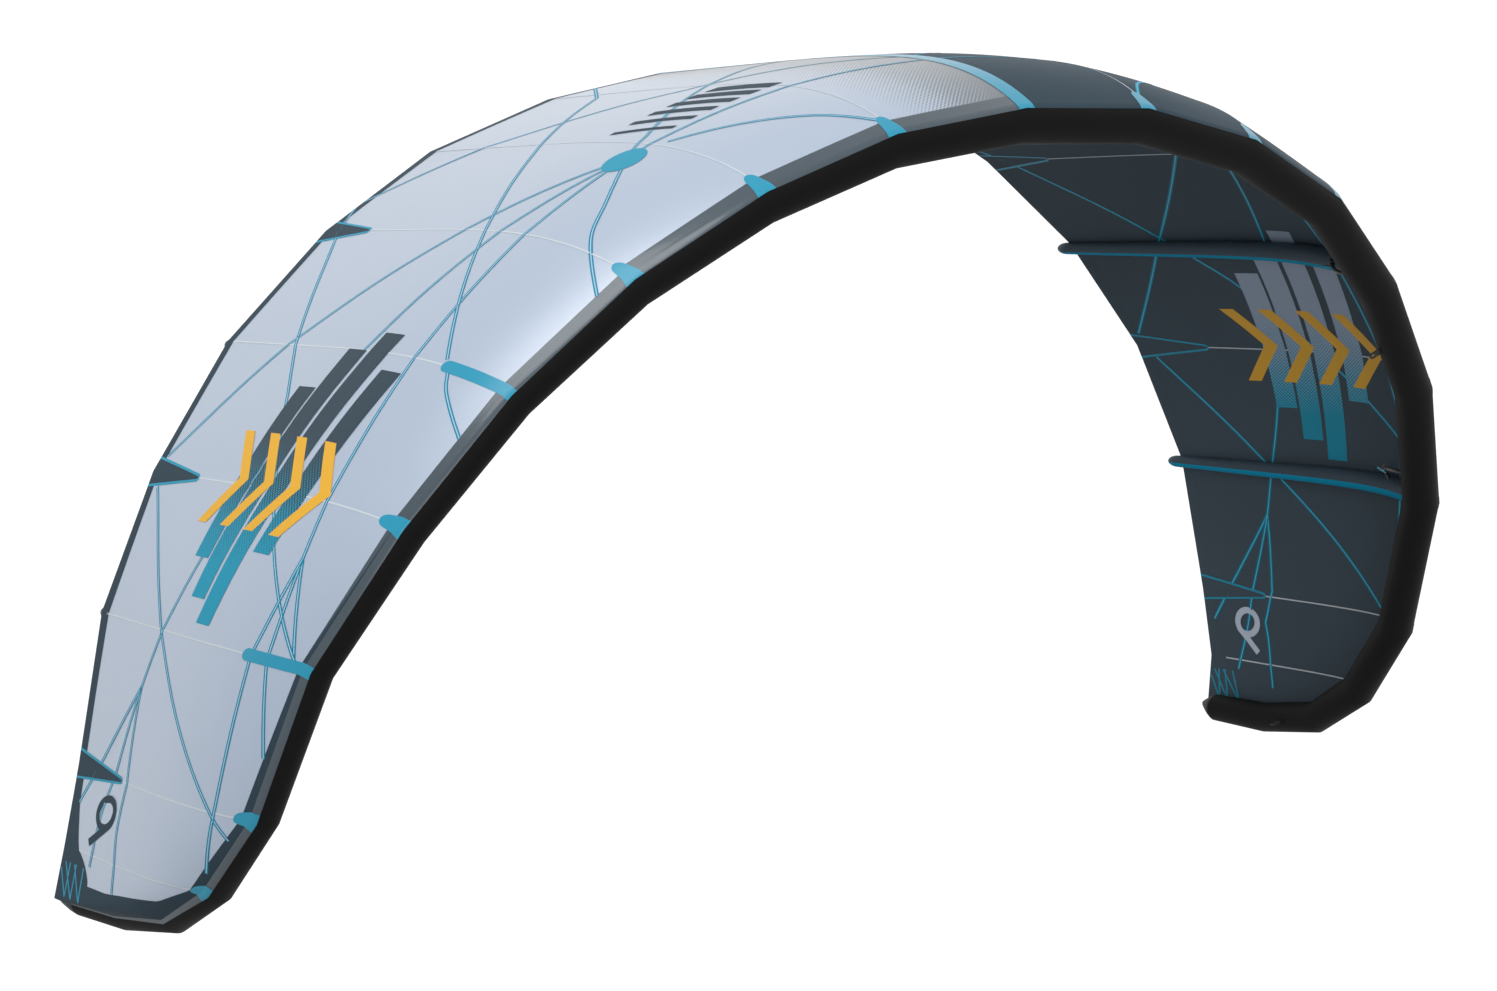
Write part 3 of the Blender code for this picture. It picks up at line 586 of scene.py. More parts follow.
# Name, colour, roughness and specular level, then tone spread, ripple, coat and its roughness
CLOTHS = {
    "black": ("black_sleeve_cloth", "0A0A0A", 0.65, 0.1, 0.12, 0.5),
    "band": ("slate_sleeve_cloth", SLATE, 0.22, 0.4, 0.05, 0.15, 0.4, 0.1),
    "pale": ("pale_ripstop", middle_fade, 0.4, 1.0, 0.03, 0.35, 1.0, 0.33),
    "slate": ("slate_ripstop", SLATE, 0.5, 0.04),
    # The left wing's inside is the same slate cloth painted lighter, as painted light in the shade
    # under the arch
    "slate_under_painted_light": ("slate_ripstop_inside_painted_light", "4D5A64", 0.7, 0.04),
    "strut": ("slate_strut_cloth", "44525D", 0.5, 0.1, 0.06, 0.5),
    "end": ("grey_end_cloth", "1F2224", 0.6, 0.25, 0.08, 0.5),
    "teal": ("teal_cloth", TEAL, 0.45, 0.15),
    "bright": ("bright_teal_cloth", "1D93B3", 0.3, 0.2, 0.05, 0.35, 0.4, 0.2),
    "stripe": ("strut_stripe_cloth", "169AC2", 0.6, 0.04),
    "line": ("load_line_edge", "0F82A4", 0.5, 0.1),
    "seam": ("seam_tape", "D0D8DE", 0.5, 0.1),
    "tape_right": ("tape_middle", "A9C9D6", 0.5, 0.1),
    "tape_left": ("tape_middle_teal", "66C6DC", 0.5, 0.1),
    "yellow": ("yellow_print", "E9B13C", 0.5, 0.15),
    "fading_left": ("fading_print_left", stripe_fade(PALE), 0.5, 0.12),
    "fading_right": ("fading_print_right", stripe_fade(SLATE), 0.5, 0.12),
    "webbing": ("black_webbing", "1E2022", 0.7, 0.5),
}
# Name, colour and roughness, then the grain's scale and depth, and how solid it looks
MOULDINGS = {
    "rubber": ("hose_rubber_black", "2A2B2D", 0.45),
    "plastic": ("black_moulding", "1B1C1E", 0.38),
    "teal_plastic": ("teal_moulding", TEAL, 0.35),
    "film": ("bladder_film_clear", "D9DEE2", 0.25, 40.0, 0.001, 0.6),
}
LOOKS = {key: cloth(*values) for key, values in CLOTHS.items()}
LOOKS.update((key, moulded(*values)) for key, values in MOULDINGS.items())
# Under faces of prints and borders; on the left wing, the slate painted lighter as painted light
# under the arch
UNDER_LOOKS = {"left": "slate_under_painted_light", "right": "slate"}
PRINT_LOOKS = {"left": "pale", "right": "slate"}
NODE_LOOKS = {"clip_body": "plastic", "clip_lever": "teal_plastic", "valve_base": "plastic",
              "valve_cap": "plastic", "valve_insert": "teal_plastic", "line_tab": "webbing",
              "bladder": "film"}


def make_tube():
    """Leading edge sleeves of black cloth, with a greyer closing piece at each tip."""
    spans = list(zip(SLEEVE_SPLITS, SLEEVE_SPLITS[1:] + (TIP,)))
    for word, side in SIDES:
        for number, (first, last) in enumerate(spans, 1):
            name = f"leading_edge_sleeve_{word}_{number}"
            if last == TIP:
                name = f"leading_edge_tip_{word}"
            piece = Piece(name.replace("leading_edge", "tube_skin"), "black", "end")
            rows = [tube_row(index) for index in range(first, last + 1)]
            piece.add_tube(rows, [])
            if last == TIP:
                piece.add_tube(rows[-1:] + tube_end(rows[-1]), [-1], [1])
            piece.make("black_cloth", name, side=side)


def tube_row(index):
    """Corners round the tube at a seam."""
    station = STATIONS[index]
    row = []
    for degrees in even(0, 360, TUBE_ROUND_STEPS)[:-1]:
        way = radial(station, degrees)
        flat = (span_at(index), math.radians(degrees) * TUBE_RADIUS)
        row.append(Corner(station.centre + station.radius * way, way, flat))
    return row


def tube_end(ring):
    """The tube's closed end, a cone that leans out to the canopy's corner."""
    tip = STATIONS[TIP]
    heading = tip.along * TUBE_END_LENGTH + tip.out * TUBE_END_LEAN
    lean = heading.normalized() * tip.radius / TUBE_END_LENGTH
    return [[Corner(tip.centre + heading * reach + (corner.point - tip.centre) * share,
                    (corner.normal + lean).normalized(), corner.flat) for corner in ring]
            for reach, share in TUBE_END_SHARES]


def panel_end(number):
    """The seam where a panel ends; the last panel runs over every seam of the tip."""
    return number if number <= LAST_SEAM else TIP


def make_canopy():
    """Every panel is a thin curved sheet, shaded as one skin across the seams."""
    # The left wing's under face takes the slate painted lighter, as painted light in the shade
    # inside the arch
    looks = {"left": ("slate", "slate", "slate_under_painted_light"), "right": ("band", "pale", "pale")}
    slots = {"left": "slate_canopy", "right": "pale_canopy"}
    shares = even(-1, 0, LAP_STEPS)[:-1] + chord_shares(CHORD_STEPS)
    sheets = []
    for word, side in SIDES:
        for number, strips in enumerate(BAND_STRIPS, 1):
            first, last = number - 1, panel_end(number)
            places = even(first, last, (last - first) * SPAN_STEPS)
            grids = [[[canopy_corner(side * place, share, 0.0, below) for share in shares]
                      for place in places] for below in (False, True)]
            piece = Piece(f"canopy_skin_{word}_{number}", *looks[word])
            piece.add_sheet(*grids, [0] * (LAP_STEPS + strips) + [1], [0] * LAP_STEPS + [2])
            item = piece.make(slots[word], f"canopy_panel_{word}_{number}", closed=True)
            sheets.append((item, word, number))
    return sheets


def flat_point(place, share):
    """A point on the straight chord at a place, without the canopy's camber."""
    spot, part, _ = between(place)
    low = FRONTS[spot] + CHORDS[spot] * share
    return low.lerp(FRONTS[spot + 1] + CHORDS[spot + 1] * share, part)


def share_beside(place, start, stop):
    """Share at which the chord at a place comes nearest to a straight line."""
    front, back = flat_point(place, 0.0), flat_point(place, 1.0)
    near = intersect_line_line(front, back, start, stop)[0]
    return (near - front).dot(back - front) / (back - front).length_squared


def path_spots(knots):
    """Places and shares along straight cloth lines, with one at every seam they cross."""
    spots = [knots[0]]
    for first, second in zip(knots, knots[1:]):
        start, stop = flat_point(*first), flat_point(*second)
        steps = max(1, round((stop - start).length / RIBBON_STEP))
        run, rise = second[0] - first[0], second[1] - first[1]
        parts = even(0, 1, steps)[1:]
        if abs(run) > STEEP_PLACES:
            low, high = sorted((first[0], second[0]))
            seams = range(math.ceil(low), math.floor(high) + 1)
            parts += [(seam - first[0]) / run for seam in seams]
        straight = abs(run) > max(STEEP_PLACES, STEEP_SLOPE * abs(rise))
        last = 0.0
        for part in sorted(parts):
            if part - last < SAME_PART or part > 1:
                continue
            place = first[0] + part * run
            share = share_beside(place, start, stop) if straight else first[1] + part * rise
            spots.append((place, share))
            last = part
    return spots


def smoothed(knots):
    """A round path through a few knots."""
    knots = [Vector(knot) for knot in knots]
    ends = knots[:1] + knots + knots[-1:]
    points = []
    for before, first, second, after in zip(ends, knots, knots[1:], ends[3:]):
        for t in even(0, 1, ROUND_STEPS)[:-1]:
            points.append(0.5 * (2 * first + (second - before) * t
                                 + (2 * before - 5 * first + 4 * second - after) * t ** 2
                                 + (3 * first - before - 3 * second + after) * t ** 3))
    return points + knots[-1:]


def shifted(place, share, along, back):
    """A place and share moved by distances along the span and back along the chord."""
    moved = place_at(span_at(place) + along)
    return moved, share + back / ramp(CHORD_LENGTHS, moved)


# Load lines, as places and shares; the drift moves the left wing's back towards its tip
LINE_OFFSETS = (-0.006, -0.0017, 0.0017, 0.006)
LINE_LIFT = 0.0006
LEFT_DRIFT = ((0, 0.0), (5, 0.0), (6, 0.055), (7, 0.05), (7.4, 0.12), (8.9, 0.12), (9.3, 0.06),
              (11, 0.06))
DISC = (2.2, 0.29)
KNOT_MIDDLE = (6.02, 0.625)
KNOT_BACK = (6.38, 0.66)
KNOT_FRONT = (5.36, 0.17)
LOAD_LINES = (
    (DISC, (3.0, 0.48), (4.0, 0.74), (4.88, 0.97)),
    (DISC, (3.0, 0.36), (4.0, 0.43), KNOT_MIDDLE, KNOT_BACK),
    (DISC, (3.0, 0.28), (5.0, 0.2), KNOT_FRONT),
    (DISC, (1.9, 0.34), (1.0, 0.51), (0.02, 0.63)),
    (DISC, (1.95, 0.29), (0.95, 0.27), (0.02, 0.24)),
    ((0.62, 0.99), (1.1, 0.81), (2.0, 0.63), (3.0, 0.41), (3.96, 0.16)),
    ((2.64, 1.0), (2.0, 0.82), (1.5, 0.66), (1.1, 0.54), (0.02, 0.3)),
    ((2.72, 1.0), (2.95, 0.96), (4.0, 0.71), (4.36, 0.6), (5.44, 0.25), (5.97, 0.03)),
    ((5.1, 0.95), KNOT_MIDDLE, (7.02, 0.14), (7.3, 0.02)),
    (KNOT_BACK, (6.9, 0.83), (7.44, 0.94)),
    (KNOT_BACK, (7.08, 0.74), (8.48, 0.73)),
    (KNOT_BACK, (6.96, 0.65), (7.4, 0.61), (8.9, 0.42)),
    (KNOT_FRONT, (6.06, 0.165), (7.02, 0.125), (7.76, 0.025)),
    (KNOT_FRONT, (6.06, 0.1), (6.6, 0.02)),
    (KNOT_FRONT, (5.98, 0.03)),
)
ROUND_LINES = (
    ((2.3, 0.26), (2.6, 0.19), (2.84, 0.14), (3.0, 0.09), (3.22, 0.01)),
    ((1.95, 0.26), (1.6, 0.19), (1.26, 0.11), (1.03, 0.03)),
    ((3.98, 0.15), (4.05, 0.13), (4.16, 0.1), (4.38, 0.01)),
)


def on_wing(knot, side):
    """A knot's place on a wing; on the left one it lies further back towards the tip."""
    place, share = knot
    if side < 0:
        return knot
    return place, share + curve_at(LEFT_DRIFT, place) * math.sin(math.pi * share)


def make_load_lines(word, side):
    """Double lines of stitched tape that carry load from the struts into the tube."""
    piece = Piece(f"load_lines_{word}", "line", f"tape_{word}")
    lines = [[on_wing(knot, side) for knot in line] for line in LOAD_LINES]
    for knots in lines + [smoothed(line) for line in ROUND_LINES]:
        piece.add_ribbon(knots, LINE_OFFSETS, LINE_LIFT, side, (0, 1, 0))
    return piece.make("slate_canopy")


# Seam tapes, hem and the slate border that widens round the tip
SEAM_OFFSETS = (-0.0022, 0.0, 0.0022)
SEAM_LIFT = 0.0004
HEM_WIDTH = 0.034
HEM_LIFT = 0.0005
BORDER_START = 5.0
BORDER_PLACES = 220
BORDER_STEPS = 12
BORDER_FRONT = ((5.0, 0.0), (5.96, 0.01), (6.96, 0.025), (8.06, 0.05), (8.54, 0.115),
                (8.82, 0.355), (9.25, 0.63))
BORDER_BACK = ((5.0, 0.972), (6.0, 0.957), (6.9, 0.955), (7.44, 0.935), (7.92, 0.885),
               (8.68, 0.74), (9.25, 0.63))
PATCH_TIPS = {3: 0.83, 5: 0.77, 7: 0.68}
PATCH_STEPS = 30
PATCH_LIFT = 0.0008
PATCH_HALF = 0.05
PATCH_TIP_RADIUS = 0.013
PATCH_EDGE = 0.008
PATCH_EDGE_SHARE = 0.9
TAB_REACH = {1: 0.035, 2: 0.035, 3: 0.035, 4: 0.16, 5: 0.04, 6: 0.2, 7: 0.05, 8: 0.045}
TAB_LIFT = 0.0009
TAB_BASE_HALF = 0.03
TAB_END_HALF = 0.015
TAB_COLUMNS = (-1, -0.5, 0, 0.5, 1)
TAB_ROWS = 26
TAB_ROW_POWER = 1.6
TAB_LEAST_WIDTH = 0.02
BAR_HALF = 0.018
CENTRE_BAND_HALF = 0.027
CENTRE_BAND_ROWS = 90


def hem_share(place):
    return 1 - HEM_WIDTH / ramp(CHORD_LENGTHS, place)


def border_back(place, side):
    return on_wing((place, curve_at(BORDER_BACK, place)), side)[1]


def make_seam_tapes(word, side):
    piece = Piece(f"seam_tapes_{word}", "seam")
    for seam in range(1, LAST_SEAM + 1):
        start, stop = TAB_REACH[seam], hem_share(seam)
        if seam in PATCH_TIPS:
            stop = on_wing((seam, PATCH_TIPS[seam]), side)[1]
        elif seam == LAST_SEAM:
            start, stop = curve_at(BORDER_FRONT, seam), border_back(seam, side)
        piece.add_ribbon(((seam, start), (seam, stop)), SEAM_OFFSETS, SEAM_LIFT, side)
    return piece.make("pale_canopy")


def make_border(word, side):
    """Hem along the back edge, and the reinforced border round the tip."""
    piece = Piece(f"border_{word}", "slate", UNDER_LOOKS[word])
    hem, front = [], []
    for place in even(0, TIP, BORDER_PLACES):
        back = hem_share(place)
        if place >= BORDER_START:
            back = min(back, border_back(place, side))
            lead = curve_at(BORDER_FRONT, place)
            front.append([(place, lead * share) for share in chord_shares(BORDER_STEPS)])
        hem.append([(place, share) for share in even(back, 1, BORDER_STEPS)])
    for rows in (hem, front):
        piece.add_print(rows, HEM_LIFT, side, under=(1,))
    return piece.make("slate_canopy")


def patch_half(distance, length):
    """Half the width of a patch at a distance from its rounded tip."""
    if distance < PATCH_TIP_RADIUS:
        return math.sqrt(distance * (2 * PATCH_TIP_RADIUS - distance))
    grown = (distance - PATCH_TIP_RADIUS) / (length - PATCH_TIP_RADIUS)
    return PATCH_TIP_RADIUS + grown * (PATCH_HALF - PATCH_TIP_RADIUS)


def make_patches(word, side):
    """Slate darts with a teal edge on the back edge, at every other seam."""
    piece = Piece(f"back_patches_{word}", "teal", "slate", UNDER_LOOKS[word])
    for seam, front in PATCH_TIPS.items():
        tip = on_wing((seam, front), side)[1]
        length = (1 - tip) * CHORD_LENGTHS[seam]
        rows = []
        for k in range(PATCH_STEPS + 1):
            distance = length * (k / PATCH_STEPS) ** 2
            half = max(patch_half(distance, length), PATCH_EDGE / 4)
            edge = half * PATCH_EDGE_SHARE
            if distance >= PATCH_EDGE:
                edge = min(edge, PATCH_EDGE)
            rows.append([(place_at(span_at(seam) + offset), tip + distance / CHORD_LENGTHS[seam])
                         for offset in (-half, edge - half, 0.0, half - edge, half)])
        piece.add_print(rows, PATCH_LIFT, side, (0, 1, 1, 0), (0, 2, 2, 0))
    return piece.make("slate_canopy")


def tab_row(seam, side, travel, half):
    """Corners across a tab, which runs over the tube from the black cloth, then on the canopy."""
    beyond = travel - LAP_LENGTHS[seam]
    share = beyond / (LAP_LENGTHS if beyond < 0 else CHORD_LENGTHS)[seam]
    return [canopy_corner(side * place_at(span_at(seam) + column * half), share, TAB_LIFT)
            for column in TAB_COLUMNS]


def make_tabs(word, side):
    """Teal tabs at each seam, and longer bars over the struts."""
    piece = Piece(f"teal_tabs_{word}", "bright")
    for seam, reach in TAB_REACH.items():
        base, end = (BAR_HALF,) * 2 if seam in STRUT_SEAMS else (TAB_BASE_HALF, TAB_END_HALF)
        total = LAP_LENGTHS[seam] + reach * CHORD_LENGTHS[seam]
        rows = []
        for k in range(TAB_ROWS + 1):
            part = 1 - (1 - k / TAB_ROWS) ** TAB_ROW_POWER
            half = base + part * (end - base)
            left = (total - part * total) / half
            if left < 1:
                half *= max(math.sqrt(1 - (1 - left) ** 2), TAB_LEAST_WIDTH)
            rows.append(tab_row(seam, side, part * total, half))
        piece.add_grid(rows)
    return piece.make("teal_plastic")


def make_centre_band():
    piece = Piece("centre_band", "bright")
    total = LAP_LENGTHS[0] + CHORD_LENGTHS[0]
    piece.add_grid([tab_row(0, 1, total * share, CENTRE_BAND_HALF)
                    for share in chord_shares(CENTRE_BAND_ROWS)])
    piece.make("teal_plastic")


# Prints of this kite's own design: disc, figure, stripes and chevrons
DISC_RADIUS = 0.062
DISC_RINGS = 6
DISC_SIDES = 48
PRINT_LIFT = 0.0009
FIGURE_LIFT = 0.0011
FIGURE_PLACE = (7.43, 0.712)
FIGURE_RADIUS = 0.052
FIGURE_DEPTHS = {"left": 0.037, "right": 0.05}
FIGURE_TAIL = (0.123, 0.067)
FIGURE_OFFSETS = (-0.0105, 0.0105)
FIGURE_STEPS = 40
STITCH_OFFSETS = (-0.003, 0.003)
CORNER_STITCHES = (((9.2, 0.985), (10.58, 0.685), (8.72, 0.905)),
                   ((8.8, 0.95), (10.5, 0.53), (8.66, 0.845)),
                   ((8.7, 0.86), (10.38, 0.37), (8.64, 0.77)))
STRIPES = ((4.12, 5.4, 0.25), (3.86, 5.9, 0.335), (4.0, 5.75, 0.42), (4.3, 5.5, 0.505))
STRIPE_WIDTH = 0.068
STRIPE_DRIFT = 0.03
STRIPE_STEPS = (60, 8)
CHEVRON_PLACE = 4.96
CHEVRON_REACH = 0.32
CHEVRON_SHARES = (0.2, 0.315, 0.43, 0.545)
CHEVRON_ARM = 0.09
CHEVRON_DEPTH = 0.042
CHEVRON_STEPS = (12, 4)
CREST_BARS = 6
CREST_PLACES = (0.95, 1.9)
CREST_SHARES = (0.31, 0.45)
CREST_FILL = 0.66
CREST_THINNING = 0.08
CREST_LEAN = 0.8
CREST_STEPS = (12, 4)


def make_disc(word, side):
    piece = Piece(f"disc_{word}", "teal")
    rings = [[shifted(*DISC, *spot) for spot in circle_points(DISC_SIDES, radius)]
             for radius in even(0, DISC_RADIUS, DISC_RINGS)[1:]]
    piece.add_print(rings, PRINT_LIFT, side, looped=True)
    return piece.make("teal_plastic")


def make_figure(word, side):
    """The size figure, which reads the right way round from outside on both wings."""
    piece = Piece(f"size_figure_{word}", PRINT_LOOKS[word])
    spot = on_wing(FIGURE_PLACE, side)
    depth = FIGURE_DEPTHS[word] / FIGURE_RADIUS
    down, back = FIGURE_TAIL
    meets = math.atan2(down, back) + math.acos(FIGURE_RADIUS / math.hypot(down, back))
    ring = circle_points(FIGURE_STEPS, FIGURE_RADIUS)
    tail = [(FIGURE_RADIUS * math.sin(meets), -side * FIGURE_RADIUS * math.cos(meets)),
            (down, -side * back)]
    for stroke in (ring + ring[:1], tail):
        knots = [shifted(*spot, along, behind * depth) for along, behind in stroke]
        piece.add_ribbon(knots, FIGURE_OFFSETS, FIGURE_LIFT, side)
    return piece.make("slate_canopy")


def make_corner_stitches(word, side):
    """Three overlapping strokes of heavy stitching that hold the tip's corner."""
    piece = Piece(f"corner_stitching_{word}", "teal")
    for stroke in CORNER_STITCHES:
        knots = [on_wing(knot, side) for knot in stroke]
        for leg in (knots[:2], knots[1:]):
            piece.add_ribbon(leg, STITCH_OFFSETS, PATCH_LIFT, side)
    return piece.make("teal_plastic")


def block(corner, along, back, steps):
    """Rows of spots on a slanted four-sided print: its corner, and its two edges from there."""
    corner, along, back = Vector(corner), Vector(along), Vector(back)
    return [[corner + far * along + near * back for near in even(0, 1, steps[1])]
            for far in even(0, 1, steps[0])]


def make_stripes(word, side):
    """Four slanted stripes whose print fades along the span."""
    piece = Piece(f"stripes_{word}", f"fading_{word}")
    for start, stop, low in STRIPES:
        along = Vector((1, STRIPE_DRIFT)) * (stop - start)
        piece.add_print(block((start, low), along, (0, STRIPE_WIDTH), STRIPE_STEPS),
                        PRINT_LIFT, side)
    return piece.make("slate_canopy")


def make_chevrons(word, side):
    """A row of chevrons that point at the leading edge."""
    piece = Piece(f"chevrons_{word}", "yellow")
    for share in CHEVRON_SHARES:
        front, leg = (CHEVRON_PLACE, share), (CHEVRON_REACH, CHEVRON_ARM)
        for sign in (-1, 1):
            piece.add_print(block(front, (sign * leg[0], leg[1]), (0, CHEVRON_DEPTH),
                                  CHEVRON_STEPS), FIGURE_LIFT, side)
    return piece.make("slate_canopy")


def make_crest_bars(word, side):
    """A row of slanted bars that get thinner towards the wing tip."""
    piece = Piece(f"crest_bars_{word}", PRINT_LOOKS[word])
    start, stop = CREST_PLACES
    low, high = CREST_SHARES
    step = (stop - start) / CREST_BARS
    for number in range(CREST_BARS):
        width = step * (CREST_FILL - CREST_THINNING * number)
        piece.add_print(block((start + number * step, low), (step * CREST_LEAN, high - low),
                              (width, 0), CREST_STEPS), PRINT_LIFT, side)
    return piece.make("slate_canopy")


# Strut skins start on the tube's face; the teal stripe lies low on the outboard side
STRUT_START = 0.07
STRUT_SIDES = 40
STRUT_STEPS = 30
STRIPE_DEG = (138.0, 188.0)
STRIPE_SIDES = 6
BISECTIONS = 24
END_CAP_STEPS = 8
END_CAP_LEAST = 0.05
BLADDER_SIDES = 24
BLADDER_START = 0.085
BLADDER_INSET = 0.0032
BLADDER_END = 0.02


def strut_hoop(seam, share, inset=0.0):
    """A strut's section at a share of the chord, close under the canopy's seam."""
    heading = chord_run(seam, share).normalized()
    across = heading.cross(STATIONS[seam].normal).normalized()
    up = across.cross(heading)
    radius = STRUT_FRONT_RADIUS + share * (STRUT_REAR_RADIUS - STRUT_FRONT_RADIUS)
    bend = math.radians(DROP_DEG[seam + 1] - DROP_DEG[seam])
    depth = CANOPY_THICKNESS + (radius + 2 * GAP) / math.cos(bend / 2)
    middle = seam_point(seam, share) - up * depth
    return Hoop(middle, heading, across, up, radius - inset, share)


def rounded_end(hoop, reach):
    """Hoops that close a tube with a round cap, behind it or with a minus in front."""
    return [hoop._replace(middle=hoop.middle + hoop.heading * reach * math.sin(turn),
                          radius=hoop.radius * max(math.cos(turn), END_CAP_LEAST),
                          share=hoop.share + reach * math.sin(turn) / CENTRE_CHORD,
                          lean=math.copysign(turn, reach))
            for turn in even(0, math.pi / 2, END_CAP_STEPS)[1:]]


def hoop_row(hoop, angles, length=0.0):
    """Corners round a hoop; the length is that of a whole chord."""
    row = []
    for degrees in angles:
        angle = math.radians(degrees)
        way = math.cos(angle) * hoop.up + math.sin(angle) * hoop.across
        normal = (way * math.cos(hoop.lean) + hoop.heading * math.sin(hoop.lean)).normalized()
        row.append(Corner(hoop.middle + hoop.radius * way, normal,
                          (angle * STRUT_FRONT_RADIUS, hoop.share * length)))
    return row


def off_tube(point, seam):
    """How far a point is outside the leading edge tube near a seam."""
    distances = []
    for index in (seam - 1, seam):
        first, second = STATIONS[abs(index)], STATIONS[index + 1]
        start = mirrored(first.centre, -1 if index < 0 else 1)
        run = second.centre - start
        part = min(max((point - start).dot(run) / run.length_squared, 0.0), 1.0)
        radius = first.radius + part * (second.radius - first.radius)
        distances.append((point - start - run * part).length - radius)
    return min(distances)


def butted(inside, outside, seam):
    """The corner where a line along a strut's skin meets the tube's face."""
    low, high = 0.0, 1.0
    for _ in range(BISECTIONS):
        middle = (low + high) / 2
        if off_tube(inside.point.lerp(outside.point, middle), seam) > GAP:
            high = middle
        else:
            low = middle
    return inside._replace(point=inside.point.lerp(outside.point, high))


def strut_names():
    names = [("middle", 0, 1)]
    for seam, place in zip(STRUT_SEAMS[1:], ("inner", "outer")):
        names += [(f"{word}_{place}", seam, side) for word, side in SIDES]
    return names


def make_strut(word, seam, side):
    low, high = STRIPE_DEG
    angles = even(low, high, STRIPE_SIDES)[:-1]
    angles += even(high, low + 360, STRUT_SIDES - STRIPE_SIDES)[:-1]
    hoops = [strut_hoop(seam, share) for share in [0.0] + chord_shares(STRUT_STEPS, STRUT_START)]
    hoops += rounded_end(hoops[-1], STRUT_OVERHANG)
    rows = [hoop_row(hoop, angles, CHORD_LENGTHS[seam]) for hoop in hoops]
    rows[0] = [butted(*pair, seam) for pair in zip(*rows[:2])]
    piece = Piece(f"strut_skin_{word}", "strut", "stripe")
    piece.add_tube(rows, [-1], [1] * STRIPE_SIDES + [0])
    piece.make("slate_cloth", f"strut_sleeve_{word}", side=side)


def make_strut_bladder(word, seam, side):
    """The bladder inside a strut, a film tube with round ends."""
    angles = even(0, 360, BLADDER_SIDES)[:-1]
    hoops = [strut_hoop(seam, share, BLADDER_INSET)
             for share in chord_shares(STRUT_STEPS, BLADDER_START)]
    hoops = (rounded_end(hoops[0], -BLADDER_END)[::-1] + hoops
             + rounded_end(hoops[-1], BLADDER_END))
    piece = Piece(f"strut_bladder_skin_{word}", "film")
    piece.add_tube([hoop_row(hoop, angles) for hoop in hoops], [0, -1])
    piece.make("bladder_film", f"strut_bladder_{word}", side=side)


# Hoses from the tube into the struts, on the route of the solid ones
HOSE_RADIUS = 0.006
HOSE_SEAM_DISTANCE = 0.105
HOSE_STRUT_DISTANCE = 0.185
HOSE_TUBE_DEG = -22.5
HOSE_STRUT_DEG = 105.0
HOSE_STUB = 0.012
HOSE_PULL = 0.045
HOSE_STEPS = 40
HOSE_SIDES = 24
HOSE_SUNK = 0.001
HOSE_SHARES = (0.05, 0.29, 24)
SOLID_CHORD_STEPS = 12
SOLID_STRUT_SIDES = 12


def tube_flat(first, second, share, degrees):
    """One flat of the faceted tube: its middle, its run along the tube and its way out."""
    half = 180 / TUBE_SIDES
    low, high = ([station.centre + station.radius * radial(station, turn)
                  for station in (first, second)] for turn in (degrees - half, degrees + half))
    run = (low[1] + high[1] - low[0] - high[0]).normalized()
    middle = (low[0].lerp(low[1], share) + high[0].lerp(high[1], share)) / 2
    out = run.cross(high[0] - low[0]).normalized()
    centre = first.centre.lerp(second.centre, share)
    return middle, run, out if out.dot(middle - centre) > 0 else -out


def solid_strut(seam, distance):
    """Middle, radius, across and up of a strut's solid, which is straight between its bends."""
    hoops = [strut_hoop(seam, share) for share in chord_shares(SOLID_CHORD_STEPS)[::2]]
    reaches = [hoop.middle.y - STATIONS[seam].centre.y for hoop in hoops]
    k = max(index for index, reach in enumerate(reaches[:-1]) if reach <= distance)
    part = (distance - reaches[k]) / (reaches[k + 1] - reaches[k])
    near, far = hoops[k], hoops[k + 1]
    heading = (far.middle - near.middle).normalized()
    across = heading.cross(STATIONS[seam].normal).normalized()
    radius = near.radius + part * (far.radius - near.radius)
    return near.middle.lerp(far.middle, part), radius, across, across.cross(heading)


def hose_route(seam):
    """Points along a hose that leaves the tube and enters its strut squarely."""
    station = STATIONS[seam]
    neighbour = STATIONS[seam - 1 if seam else 1]
    inboard = neighbour.centre - station.centre
    start, _, leave = tube_flat(station, neighbour, HOSE_SEAM_DISTANCE / inboard.length,
                                HOSE_TUBE_DEG)
    middle, radius, across, up = solid_strut(seam, HOSE_STRUT_DISTANCE)
    angle = math.radians(HOSE_STRUT_DEG)
    enter = math.cos(angle) * up + math.copysign(math.sin(angle), inboard.dot(across)) * across
    start += leave * GAP
    stop = middle + enter * (radius * math.cos(math.pi / SOLID_STRUT_SIDES) + GAP)
    pulled = HOSE_STUB + HOSE_PULL
    curve = interpolate_bezier(start + leave * HOSE_STUB, start + leave * pulled,
                               stop + enter * pulled, stop + enter * HOSE_STUB, HOSE_STEPS + 1)
    hoops = [strut_hoop(seam, share) for share in even(*HOSE_SHARES)]
    sunk = 0.0
    while sunk < HOSE_RADIUS and min((stop - enter * sunk - hoop.middle).length - hoop.radius
                                     for hoop in hoops) > -HOSE_SUNK:
        sunk += HOSE_SUNK / 4
    return [start] + curve + [stop - enter * sunk]


